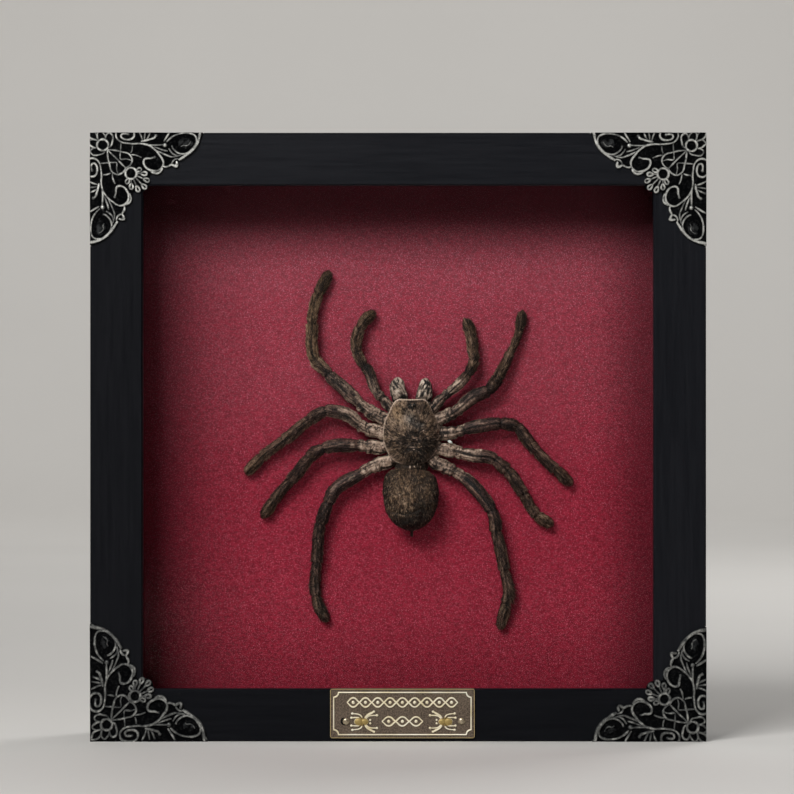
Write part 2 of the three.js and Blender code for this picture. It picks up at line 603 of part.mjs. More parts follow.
function addSpider(parent) {
  const spider = new THREE.Group();
  spider.position.set(SPIDER_X, RAIL_FRONT_Y + PAPER_DEPTH, SPIDER_Z);
  spider.rotation.x = Math.PI / 2;
  parent.add(spider);

  const besideCarapace = toSolid(carapaceGeometry(BODY_GAP));
  place(spider, 'carapace', toGeometry(toSolid(carapaceGeometry(0))), PALE_CHITIN);
  place(spider, 'abdomen', toGeometry(abdomenGeometry().subtract(besideCarapace)), BROWN_HAIR);
  for (const [side, middle] of Object.entries(CHELICERA_PLACES)) {
    const jaw = cheliceraGeometry(middle).subtract(besideCarapace);
    place(spider, `chelicera_${side}`, toGeometry(jaw), PALE_CHITIN);
  }
  for (const [name, route] of Object.entries(LIMB_ROUTES)) {
    const palp = name.startsWith('palp');
    const stations = palp ? PALP_STATIONS : LEG_STATIONS;
    const limb = limbGeometry(route, stations, palp ? PALP_STEPS : LEG_STEPS).subtract(besideCarapace);
    place(spider, name, toGeometry(limb), DARK_CHITIN);
  }
  const bead = reshapedSphere(10, 8, (x, y, z) => [
    GLUE_BEAD.x + x * GLUE_BEAD.halfSize[0],
    GLUE_BEAD.y + y * GLUE_BEAD.halfSize[1],
    GLUE_BEAD.height + z * GLUE_BEAD.halfSize[2],
  ]);
  place(spider, 'glue_bead', toGeometry(toSolid(bead)), DRIED_GLUE);
}

// --- the whole object -------------------------------------------------------------------------------------

const framedSpider = new THREE.Group();
addRails(framedSpider);
addLayers(framedSpider);
addBackBoard(framedSpider);
addPoints(framedSpider);
addHanger(framedSpider);
addCorners(framedSpider);
addNamePlate(framedSpider);
addSpider(framedSpider);

export default framedSpider;
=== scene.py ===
"""Framed tarantula specimen: its finishes, stamped corners, name plate, and the hairy spider itself.

Lengths are in millimetres and become metres where a mesh is made. The spider is described on the paper:
x to the right, y towards its head, and height off the paper.
"""

import math
from contextlib import contextmanager

import bpy
import numpy as np
from mathutils import Matrix, Vector


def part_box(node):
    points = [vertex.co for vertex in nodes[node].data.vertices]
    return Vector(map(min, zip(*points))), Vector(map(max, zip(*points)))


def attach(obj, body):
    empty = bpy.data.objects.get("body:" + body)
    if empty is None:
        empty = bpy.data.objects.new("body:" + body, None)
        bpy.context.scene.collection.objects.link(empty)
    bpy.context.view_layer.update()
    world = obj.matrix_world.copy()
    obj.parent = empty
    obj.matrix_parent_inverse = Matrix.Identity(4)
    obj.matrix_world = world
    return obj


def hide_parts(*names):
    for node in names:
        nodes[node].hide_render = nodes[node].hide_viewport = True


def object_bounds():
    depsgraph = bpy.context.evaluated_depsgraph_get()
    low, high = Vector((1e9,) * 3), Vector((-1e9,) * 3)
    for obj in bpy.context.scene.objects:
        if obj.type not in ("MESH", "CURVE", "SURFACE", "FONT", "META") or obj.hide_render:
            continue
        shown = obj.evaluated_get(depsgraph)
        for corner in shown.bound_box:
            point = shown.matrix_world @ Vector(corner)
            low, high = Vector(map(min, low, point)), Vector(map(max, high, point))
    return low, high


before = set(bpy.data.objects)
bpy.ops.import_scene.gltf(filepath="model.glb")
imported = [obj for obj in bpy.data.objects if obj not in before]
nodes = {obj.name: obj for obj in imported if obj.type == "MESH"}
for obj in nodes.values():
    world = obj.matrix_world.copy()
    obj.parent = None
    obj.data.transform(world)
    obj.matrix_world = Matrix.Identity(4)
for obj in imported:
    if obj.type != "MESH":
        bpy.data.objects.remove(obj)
cad_low, cad_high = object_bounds()

MM = 0.001
SEED = 20
# doubles of a unit ball are closer than this
BALL_MERGE = 1e-5

FRAME_HALF_WIDTH = cad_high.x / MM
FRAME_HEIGHT = cad_high.z / MM
RAIL_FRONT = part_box("rail_left")[0].y / MM
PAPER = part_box("mount_board")[0].y / MM

# each rail's run, and how light its paint is made: a painted shade that makes the bottom and left rails
# darker than the others
RAIL_PAINTED_SHADES = {"top": ("x", 0.92), "bottom": ("x", 0.62), "left": ("z", 0.66), "right": ("z", 0.95)}

# camera: on the axis that sees the frame square on
CAMERA_X = -0.38
CAMERA_Z = 113.64
CAMERA_DISTANCE = 1200
VIEW_WIDTH = 261.9
SENSOR = 36

ROOM_REACH = 3.0
ROOM_HEIGHT = 2.6
ROOM_SWEEP = 0.7


# --- small tools ---

def take(piece):
    """Makes one piece the selected and active one."""
    for other in bpy.context.selected_objects:
        other.select_set(False)
    piece.select_set(True)
    bpy.context.view_layer.objects.active = piece
    return piece


def set_down(name, data):
    """A new object with this data, in the scene."""
    item = bpy.data.objects.new(name, data)
    bpy.context.scene.collection.objects.link(item)
    return item


def points_of(piece):
    """A piece's vertices in metres, one row each."""
    flat = np.empty(len(piece.data.vertices) * 3, np.float32)
    piece.data.vertices.foreach_get("co", flat)
    return flat.reshape(-1, 3).astype(float)


def set_points(piece, points):
    piece.data.vertices.foreach_set("co", np.asarray(points, np.float32).ravel())
    piece.data.update()


def note(piece, **measures):
    """Writes measures on the vertices, for the finishes and hairs to read: numbers, or directions ahead."""
    for name, values in measures.items():
        wide = name == "ahead"
        shape = (len(piece.data.vertices), 3) if wide else len(piece.data.vertices)
        values = np.broadcast_to(np.asarray(values, np.float32), shape)
        old = piece.data.attributes.get(name)
        if old:
            piece.data.attributes.remove(old)
        layer = piece.data.attributes.new(name, "FLOAT_VECTOR" if wide else "FLOAT", "POINT")
        layer.data.foreach_set("vector" if wide else "value", values.ravel())


def noted(piece, name):
    """Reads back a measure that note wrote."""
    wide = name == "ahead"
    flat = np.empty(len(piece.data.vertices) * (3 if wide else 1), np.float32)
    piece.data.attributes[name].data.foreach_get("vector" if wide else "value", flat)
    return flat.reshape(-1, 3).astype(float) if wide else flat.astype(float)


def settle(piece):
    """Puts a piece's place, turn and size into its mesh."""
    take(piece)
    bpy.ops.object.transform_apply(location=True, rotation=True, scale=True)
    return piece


@contextmanager
def editing(piece, choice="SELECT"):
    """Edit mode on one piece, with all or nothing of it selected."""
    take(piece)
    bpy.ops.object.mode_set(mode="EDIT")
    bpy.ops.mesh.select_all(action=choice)
    yield
    bpy.ops.object.mode_set(mode="OBJECT")


def clean(piece, merge=0.0):
    """Merges doubles and turns all faces outwards."""
    with editing(piece):
        if merge:
            bpy.ops.mesh.remove_doubles(threshold=merge * MM)
        bpy.ops.mesh.normals_make_consistent(inside=False)
    return piece


@contextmanager
def editing_some(piece, kind, wanted):
    """Edit mode with the edges or faces selected whose corners' heights are wanted."""
    with editing(piece, "DESELECT"):
        bpy.ops.mesh.select_mode(type=kind)
    for part in piece.data.edges if kind == "EDGE" else piece.data.polygons:
        part.select = wanted([piece.data.vertices[corner].co.z for corner in part.vertices])
    bpy.ops.object.mode_set(mode="EDIT")
    yield
    bpy.ops.object.mode_set(mode="OBJECT")


def smooth(piece, angle):
    take(piece)
    bpy.ops.object.shade_smooth_by_angle(angle=math.radians(angle))
    return piece


def joined(name, pieces):
    """Several pieces as one."""
    take(pieces[0])
    for piece in pieces[1:]:
        piece.select_set(True)
    bpy.ops.object.join()
    whole = bpy.context.view_layer.objects.active
    whole.name = name
    whole.data.name = name
    return whole


def ball(name, segments, rings):
    """A unit ball, rolled from a sheet so that its vertices come in the same order each time."""
    bpy.ops.mesh.primitive_grid_add(x_subdivisions=segments, y_subdivisions=rings, size=1)
    piece = bpy.context.object
    piece.name = name
    turn, tilt = points_of(piece).T[:2] * math.pi
    wide = np.cos(tilt)
    set_points(piece, np.column_stack([wide * np.cos(2 * turn), wide * np.sin(2 * turn), np.sin(tilt)]))
    with editing(piece):
        bpy.ops.mesh.remove_doubles(threshold=BALL_MERGE)
    return piece, points_of(piece)


def finished(piece, finish, slot, *stands_for):
    """Gives a piece its finish and its body, and hides the nodes it stands for."""
    piece.data.materials.clear()
    piece.data.materials.append(finish)
    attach(piece, "root")
    if stands_for:
        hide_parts(*stands_for)


# --- finishes ---

def colour_of(value):
    """A grey number or three parts, as a colour."""
    return (value, value, value, 1) if isinstance(value, (int, float)) else (*value, 1)


class Finish:
    """A procedural material on a Principled shader."""

    def __init__(self, name, **settings):
        self.material = bpy.data.materials.new(name)
        self.material.use_nodes = True
        self.tree = self.material.node_tree
        self.tree.nodes.clear()
        inputs = {socket.replace("_", " "): value for socket, value in settings.items()}
        self.shader = self.node("BsdfPrincipled", inputs)
        self.output = self.node("OutputMaterial", {"Surface": self.shader.outputs[0]})

    def node(self, kind, inputs=None, **settings):
        """Adds a node, sets it up and feeds its inputs."""
        node = self.tree.nodes.new(f"ShaderNode{kind}")
        for name, value in settings.items():
            setattr(node, name, value)
        for socket, value in (inputs or {}).items():
            self.feed(node, socket, value)
        return node

    def feed(self, node, socket, value):
        target = node.inputs[socket]
        if isinstance(value, bpy.types.NodeSocket):
            self.tree.links.new(value, target)
        else:
            target.default_value = colour_of(value) if target.type == "RGBA" else value

    def place(self, stretch=(1, 1, 1)):
        """Object coordinates, stretched."""
        here = self.node("TexCoord").outputs["Object"]
        return self.node("Mapping", {"Vector": here, "Scale": stretch}).outputs[0]

    def measure(self, name):
        return self.node("Attribute", attribute_name=name).outputs["Fac"]

    def grain(self, scale, detail=3.0, roughness=0.6, stretch=(1, 1, 1)):
        inputs = {"Vector": self.place(stretch), "Scale": scale, "Detail": detail, "Roughness": roughness}
        return self.node("TexNoise", inputs).outputs["Fac"]

    def stops(self, factor, *stops):
        """A ramp of (position, colour or grey number)."""
        ramp = self.node("ValToRGB", {"Fac": factor})
        marks = ramp.color_ramp.elements
        while len(marks) < len(stops):
            marks.new(0.5)
        for mark, (position, value) in zip(marks, stops):
            mark.position = position
            mark.color = colour_of(value)
        return ramp.outputs["Color"]

    def rise(self, factor, start, end, top=1):
        return self.stops(factor, (start, 0), (end, top))

    def mix(self, factor, first, second):
        return self.node("Mix", {0: factor, 6: first, 7: second}, data_type="RGBA").outputs[2]

    def sum(self, first, second):
        return self.node("Math", {0: first, 1: second}).outputs[0]

    def times(self, first, second):
        return self.node("Math", {0: first, 1: second}, operation="MULTIPLY").outputs[0]

    def ranged(self, value, start, end):
        """0 before start, 1 after end, and smooth between them."""
        return self.node("MapRange", {0: value, 1: start, 2: end}, interpolation_type="SMOOTHSTEP").outputs[0]

    def coat(self, colour, roughness=None, height=None, depth=0):
        """Ends the finish: its colour, how rough it is where a pattern is low and high, and its bumps."""
        self.feed(self.shader, "Base Color", colour)
        if roughness:
            pattern, low, high = roughness
            self.feed(self.shader, "Roughness", self.stops(pattern, (0.3, low), (0.7, high)))
        if height:
            bump = self.node("Bump", {"Height": height, "Distance": depth * MM})
            self.feed(self.shader, "Normal", bump.outputs[0])
        return self.material


def black_wood(name, along, depth):
    """Satin charcoal paint with a fine brushed grain along the rail; depth is how light this rail is painted,
    a painted shade that scales its colour and its shine.
    """
    finish = Finish(f"black_wood_{name}", Specular_IOR_Level=0.15 * depth)
    brush = finish.grain(900, 4, 0.65, (0.05, 1, 1) if along == "x" else (1, 1, 0.05))
    dark, body, light = [tuple(depth * part for part in colour) for colour in
                         ((0.0026, 0.0031, 0.0052), (0.0042, 0.0048, 0.0072), (0.0066, 0.0073, 0.0102))]
    colour = finish.mix(finish.rise(brush, 0.35, 0.75), finish.mix(finish.grain(30, 2), dark, body), light)
    height = finish.sum(brush, finish.times(finish.grain(2600, 2), 0.5))
    return finish.coat(colour, (brush, 0.38, 0.48), height, 0.035)


def crimson_paper():
    """Crimson paper with a fine wavy grain and a faint painted sheen that grows towards its top, with painted
    shade along its edges.
    """
    finish = Finish("crimson_paper", Specular_IOR_Level=0.12)
    pebble = finish.grain(1600, 2, 0.7, (0.6, 1, 1))
    fleck = finish.grain(3000, 1)
    weave = finish.mix(finish.rise(pebble, 0.40, 0.62), (0.180, 0.0085, 0.020), (0.330, 0.0165, 0.040))
    tinted = finish.mix(finish.rise(finish.grain(14, 3), 0.3, 0.8, 0.3), weave, (0.28, 0.015, 0.036))
    flecked = finish.mix(finish.rise(fleck, 0.60, 0.70), tinted, (0.56, 0.11, 0.17))
    places = finish.node("SeparateXYZ", {0: finish.place()})
    across, up = places.outputs[0], places.outputs[2]
    # painted sheen: a pale veil that grows towards the top of the paper, stronger on its light grains
    painted_sheen = finish.sum(finish.ranged(up, 0.075, 0.130), finish.ranged(up, 0.135, 0.172))
    grains = finish.sum(finish.rise(fleck, 0.40, 0.60), 0.5)
    sheened = finish.mix(finish.times(finish.times(painted_sheen, 0.05), grains), flecked, (0.50, 0.41, 0.47))
    # painted shadow of the rails: the paper darkens towards its left, right, bottom and top edges
    light = 1.0
    for place, inner, outer, depth in ((across, -0.036, -0.085, 0.60), (across, 0.062, 0.086, 0.66),
                                       (up, 0.045, 0.016, 0.22), (up, 0.156, 0.180, 0.80)):
        edge = finish.times(finish.ranged(place, inner, outer), -depth)
        light = finish.times(finish.sum(edge, 1.0), light)
    painted_shade = finish.sum(finish.times(light, -1.0), 1.0)
    colour = finish.mix(painted_shade, sheened, (0.030, 0.0012, 0.004))
    return finish.coat(colour, (pebble, 0.46, 0.62), finish.sum(pebble, finish.times(fleck, 0.6)), 0.07)


def clear_glass():
    """Thin picture glass with a coating against glare: it shines by its angle."""
    finish = Finish("clear_glass")
    finish.tree.nodes.remove(finish.shader)
    clear = finish.node("BsdfTransparent", {"Color": (0.975, 0.985, 0.98)})
    haze = finish.stops(finish.grain(9, 1), (0.4, 0.03), (0.7, 0.05))
    shine = finish.node("BsdfGlossy", {"Roughness": haze})
    fresnel = finish.node("Fresnel", {"IOR": 1.1})
    blend = finish.node("MixShader", {0: fresnel.outputs[0], 1: clear.outputs[0], 2: shine.outputs[0]})
    finish.feed(finish.output, "Surface", blend.outputs[0])
    return finish.material


def fibreboard():
    """Raw hardboard: matted fibres, smooth and a little glossy."""
    finish = Finish("fibreboard")
    fibre = finish.grain(420, 6, 0.75, (1, 1, 0.6))
    speck = finish.grain(1800, 2)
    body = finish.mix(finish.rise(fibre, 0.3, 0.75), (0.085, 0.038, 0.016), (0.235, 0.125, 0.060))
    colour = finish.mix(finish.grain(25, 3), body, (0.14, 0.066, 0.029))
    return finish.coat(colour, (speck, 0.55, 0.8), finish.sum(fibre, speck), 0.06)


def zinc_steel():
    """Zinc-plated steel with a soft spangle and rolling marks."""
    finish = Finish("zinc_steel", Metallic=0.9)
    spangle = finish.node("TexVoronoi", {"Vector": finish.place(), "Scale": 450}).outputs["Distance"]
    rolled = finish.grain(700, 3, 0.6, (0.15, 1, 1))
    body = finish.mix(spangle, (0.30, 0.31, 0.33), (0.44, 0.45, 0.47))
    return finish.coat(finish.mix(rolled, body, (0.22, 0.22, 0.235)), (rolled, 0.32, 0.5), rolled, 0.02)


def antique_silver():
    """Stamped metal, black in its hollows and rubbed to silver on its raised lines."""
    finish = Finish("antique_silver", Specular_IOR_Level=0.03)
    relief = finish.measure("relief")
    wear = finish.grain(1500, 3, 0.7)
    rubbed = finish.sum(relief, finish.times(finish.sum(finish.grain(560, 3), -0.5), 1.1))
    tone = finish.stops(rubbed, (0.16, (0.0005, 0.0006, 0.0009)), (0.42, (0.032, 0.033, 0.034)),
                        (0.72, (0.150, 0.151, 0.143)), (1.0, (0.52, 0.515, 0.48)))
    finish.feed(finish.shader, "Metallic", finish.rise(relief, 0.3, 0.7, 0.55))
    colour = finish.mix(finish.rise(wear, 0.52, 0.70, 0.6), tone, 0.015)
    return finish.coat(colour, (wear, 0.34, 0.55), wear, 0.05)


def dark_brass():
    """Brown patinated brass, rubbed to pale gold on its relief."""
    finish = Finish("dark_brass", Specular_IOR_Level=0.4)
    relief = finish.measure("relief")
    stain = finish.grain(160, 4, 0.6)
    pit = finish.grain(1600, 2)
    clouds = finish.mix(finish.rise(stain, 0.35, 0.7), (0.052, 0.038, 0.027), (0.104, 0.078, 0.054))
    stipple = finish.rise(finish.grain(1900, 3, 0.75), 0.38, 0.64, 0.9)
    ground = finish.mix(stipple, clouds, (0.240, 0.180, 0.134))
    gold = finish.mix(finish.rise(stain, 0.3, 0.7), (0.80, 0.68, 0.42), (1.0, 0.95, 0.80))
    bronzed = finish.mix(finish.rise(relief, 0.25, 0.48), ground, (0.36, 0.255, 0.085))
    finish.feed(finish.shader, "Metallic", finish.stops(relief, (0.3, 0.55), (0.8, 0.15)))
    colour = finish.mix(finish.rise(relief, 0.55, 0.85), bronzed, gold)
    return finish.coat(colour, (pit, 0.38, 0.54), pit, 0.04)


def painted_hole_shade():
    """Painted shade: the dark inside of a punched hole, laid on as a thin sheet."""
    finish = Finish("painted_hole_shade", Roughness=0.8, Specular_IOR_Level=0.1)
    return finish.coat(finish.mix(finish.grain(1500), 0.002, (0.01, 0.008, 0.006)))


def nail_brass():
    """A domed nail head, dulled unevenly."""
    finish = Finish("nail_brass", Metallic=0.75)
    dull = finish.grain(900, 3)
    colour = finish.mix(dull, (0.21, 0.165, 0.105), (0.66, 0.56, 0.40))
    return finish.coat(colour, (dull, 0.22, 0.4), dull, 0.02)


def dried_glue():
    """A chip of whitish dried glue, cloudy inside."""
    finish = Finish("dried_glue", Roughness=0.3)
    cloud = finish.grain(1500, 2)
    return finish.coat(finish.mix(cloud, (0.66, 0.64, 0.60), (0.98, 0.97, 0.94)), None, cloud, 0.05)


def eye_gloss():
    finish = Finish("eye_gloss", Roughness=0.12, Coat_Weight=0.6)
    return finish.coat(finish.mix(finish.grain(2500, 1), 0.004, (0.014, 0.012, 0.010)))


def studio_paper():
    finish = Finish("studio_paper", Roughness=0.75)
    return finish.coat(finish.mix(finish.grain(3, 2), (0.63, 0.61, 0.58), (0.68, 0.66, 0.63)))


# Tone ramps of the dried spider, from its creases to its palest ridges.
PALE = ((0.02, (0.006, 0.004, 0.0034)), (0.28, (0.064, 0.040, 0.030)), (0.55, (0.270, 0.176, 0.130)),
        (0.95, (0.78, 0.585, 0.46)))
DARK = ((0.02, (0.003, 0.0019, 0.0016)), (0.38, (0.037, 0.0176, 0.0140)), (0.68, (0.128, 0.065, 0.048)),
        (0.98, (0.46, 0.285, 0.212)))
OLIVE = ((0.02, (0.005, 0.0032, 0.0020)), (0.38, (0.063, 0.0335, 0.0180)), (0.68, (0.214, 0.122, 0.065)),
         (0.98, (0.53, 0.36, 0.225)))
BROWN = ((0.02, (0.004, 0.0028, 0.0023)), (0.38, (0.040, 0.0243, 0.0180)), (0.66, (0.148, 0.092, 0.066)),
         (0.98, (0.55, 0.390, 0.295)))
GOLD = ((0.02, (0.007, 0.004, 0.0025)), (0.40, (0.068, 0.036, 0.0190)), (0.66, (0.208, 0.120, 0.066)),
        (0.98, (0.54, 0.365, 0.225)))
GREY = ((0.02, (0.005, 0.004, 0.0035)), (0.26, (0.080, 0.060, 0.048)), (0.55, (0.410, 0.305, 0.240)),
        (0.95, (0.92, 0.77, 0.64)))
COOL = ((0.02, (0.006, 0.0062, 0.007)), (0.40, (0.044, 0.044, 0.046)), (0.66, (0.140, 0.139, 0.140)),
        (0.98, (0.44, 0.42, 0.40)))


def cuticle(name, near, far, other, bare):
    """Skin or hair of the spider: ramps over its tone, mixed by how warm, cool and pale it is there."""
    finish = Finish(name, Specular_IOR_Level=0.35, Roughness=0.6)
    fine = finish.grain(2300 if bare else 1400, 2)
    tone = finish.sum(finish.measure("tone"), finish.times(finish.sum(fine, -0.5), 0.5 if bare else 0.25))
    colour = finish.stops(tone, *far)
    for measure, ramp in (("warm", other), ("cool", COOL), ("pale", near)):
        colour = finish.mix(finish.measure(measure), colour, finish.stops(tone, *ramp))
    if not bare:
        return finish.coat(colour)
    finish.feed(finish.shader, "Roughness", finish.stops(tone, (0.2, 0.75), (0.7, 0.5)))
    return finish.coat(colour, None, fine, 0.08)


def skin_and_hair(name, *ramps):
    return cuticle(f"{name}_skin", *ramps, bare=True), cuticle(f"{name}_hair", *ramps, bare=False)


# --- camera, stage and lights ---

def make_camera():
    data = bpy.data.cameras.new("camera")
    data.sensor_width = SENSOR
    data.lens = SENSOR * CAMERA_DISTANCE / VIEW_WIDTH
    data.clip_start = 0.05
    data.clip_end = 50
    camera = set_down("camera", data)
    camera.location = Vector((CAMERA_X, RAIL_FRONT - CAMERA_DISTANCE, CAMERA_Z)) * MM
    camera.rotation_euler = (math.radians(90), 0, 0)
    bpy.context.scene.camera = camera


def make_stage():
    """A pale floor that sweeps up into walls on all four sides."""
    bpy.ops.mesh.primitive_cube_add(size=1, location=(0, 0, ROOM_HEIGHT / 2))
    room = bpy.context.object
    room.name = "room"
    room.scale = (2 * ROOM_REACH, 2 * ROOM_REACH, ROOM_HEIGHT)
    settle(room)
    with editing_some(room, "FACE", lambda heights: min(heights) > ROOM_HEIGHT / 2):
        bpy.ops.mesh.delete(type="FACE")
    with editing_some(room, "EDGE", lambda heights: min(heights) < ROOM_HEIGHT / 2):
        bpy.ops.mesh.bevel(offset=ROOM_SWEEP, segments=24, affect="EDGES")
    with editing(room):
        bpy.ops.mesh.flip_normals()
    smooth(room, 30)
    room.data.materials.append(studio_paper())


def make_lamp(name, place, aim, size, watts, tint=(1, 1, 1)):
    data = bpy.data.lights.new(name, "AREA")
    data.shape = "RECTANGLE"
    data.size, data.size_y = size
    data.energy = watts
    data.color = tint
    lamp = set_down(name, data)
    lamp.location = place
    lamp.rotation_euler = (Vector(aim) - Vector(place)).to_track_quat("-Z", "Y").to_euler()


def make_lights():
    middle = (0, 0, 0.1)
    make_lamp("key", (-0.42, -0.82, 0.76), middle, (0.55, 0.5), 12.4)
    make_lamp("fill", (0.45, -0.95, 0.72), middle, (0.5, 0.5), 0.45, (0.9, 0.95, 1))
    make_lamp("backdrop", (0, 1.5, 2.1), (0, ROOM_REACH, 0.5), (3.0, 0.7), 36)
    make_lamp("rear", (0.75, 0.95, 0.8), middle, (0.6, 0.6), 6)
    world = bpy.data.worlds.new("studio")
    world.use_nodes = True
    sky = world.node_tree.nodes["Background"]
    sky.inputs[0].default_value = (0.86, 0.92, 1, 1)
    sky.inputs[1].default_value = 0.015
    bpy.context.scene.world = world
    bpy.context.scene.view_settings.view_transform = "Standard"


# --- drawn wires and flat plates ---

def new_curve(name, bevel, roundness, **settings):
    curve = bpy.data.curves.new(name, "CURVE")
    for setting, value in settings.items():
        setattr(curve, setting, value)
    curve.bevel_depth = bevel * MM
    curve.bevel_resolution = roundness
    return curve


def add_line(curve, points, lift=0, closed=True, kind="BEZIER"):
    """Adds a line through points, rounded or with straight runs, and gives back its knots."""
    spline = curve.splines.new(kind)
    knots = spline.bezier_points if kind == "BEZIER" else spline.points
    knots.add(len(points) - 1)
    spline.use_cyclic_u = closed
    for knot, (across, up) in zip(knots, points):
        place = (across * MM, up * MM, lift * MM)
        knot.co = place if kind == "BEZIER" else (*place, 1)
        if kind == "BEZIER":
            knot.handle_left_type = knot.handle_right_type = "AUTO"
    return knots


def as_mesh(name, curve):
    take(set_down(name, curve))
    bpy.ops.object.convert(target="MESH")
    return clean(bpy.context.object, 0.002)


def drawn_wires(name, strokes, lift, fineness=4):
    """Round wires drawn in a plane: each stroke is (radius, points, closed). They lie at a height of lift."""
    curve = new_curve(name, 1, 1, dimensions="3D", resolution_u=fineness, use_fill_caps=True)
    for radius, points, closed in strokes:
        knots = add_line(curve, points, lift, closed)
        for knot, (across, up) in zip(knots, points):
            knot.radius = radius * (1 + 0.16 * math.sin(37 * across + 23 * up))
        if not closed:
            knots[0].radius = knots[-1].radius = radius * 0.75
    return as_mesh(name, curve)


def flat_plate(name, outline, thickness, edge, shrink):
    """A flat plate with a softened edge, from 0 up to its thickness, a little smaller than its outline."""
    curve = new_curve(name, edge, 1, dimensions="2D", fill_mode="BOTH", resolution_u=4,
                      extrude=(thickness / 2 - edge) * MM, offset=-(edge + shrink) * MM)
    add_line(curve, outline)
    plate = as_mesh(name, curve)
    plate.data.transform(Matrix.Translation((0, 0, thickness / 2 * MM)))
    return plate


def cut_off(piece, point, outwards):
    """Cuts away what lies outwards of a plane and closes the cut."""
    with editing(piece):
        bpy.ops.mesh.bisect(plane_co=Vector(point) * MM, plane_no=outwards, use_fill=True, clear_outer=True)


def dome(name, place, size, segments=12, rings=8):
    """A low round button: an ellipsoid sunk to its middle."""
    button, unit = ball(name, segments, rings)
    set_points(button, (unit * size + place) * MM)
    return button


def place_flat(piece, start, across=(1, 0, 0), along=(0, 0, 1), out=(0, -1, 0)):
    """Moves a flat pattern to start, with its x, y and z turned to three directions."""
    turn = Matrix((across, along, out)).transposed()
    piece.data.transform(Matrix.Translation(Vector(start) * MM) @ turn.to_4x4())
    if turn.determinant() < 0:
        piece.data.flip_normals()
    piece.data.update()


# --- corner ornaments ---
# The pattern is drawn round the middle of the flower: p runs away from the corner along one edge, and q
# along the other. One half is drawn, and the other is its mirror image across the diagonal.

# from the frame's sides and ends to the middle of the flower
FLOWER_PLACES = {"top_left": (4.2, 4.1), "top_right": (4.9, 4.3),
                 "bottom_left": (5.5, 5.6), "bottom_right": (4.5, 4.7)}
# how bold the wires are, and how light each ornament is painted: the bottom ones darker than the top ones, as
# painted shade
BOLDNESS = {"top": 1.12, "bottom": 1.32}
CORNER_PAINTED_LIGHT = {"top_left": 0.86, "top_right": 0.93, "bottom_left": 0.66, "bottom_right": 0.68}
# thickness of the ground plate, the wires' middles above it, and where they are rubbed brightest
GROUND_TOP = 0.35
WIRE_LIFT = 0.2
FRONT_CREST = 0.55
# the same for the flanges, and how far a flange reaches back from the flower's middle
FLANGE_GROUND = 0.2
FLANGE_CREST = 0.3
FLANGE_REACH = 9.0
# how far the patterns run on past the frame's edges, where they are cut
BEYOND = 9

LOBE_OUTLINE = [(33.4, -4.4), (32.6, -1.6), (31.4, 0.4), (29.6, 2.2), (27.3, 3.8), (25.5, 4.9), (25, 7),
                (24, 7.7), (22.8, 7.2), (20.6, 7.4), (19.8, 8.6), (18.4, 9.6), (16.8, 9.9), (15.7, 10.3),
                (15.6, 12.4), (15.4, 13.9), (14.7, 14.7)]
FLANGE_OUTLINE = LOBE_OUTLINE[:11] + [(17.6, 9.1), (15.6, 9.1), (13.6, 8.2), (11.4, 8.8), (8.8, 8.2),
                                      (6.2, 8.8), (3.6, 8.2), (1.2, 8.8)]

RING = 1.85
FAN_PLACE = 9.35

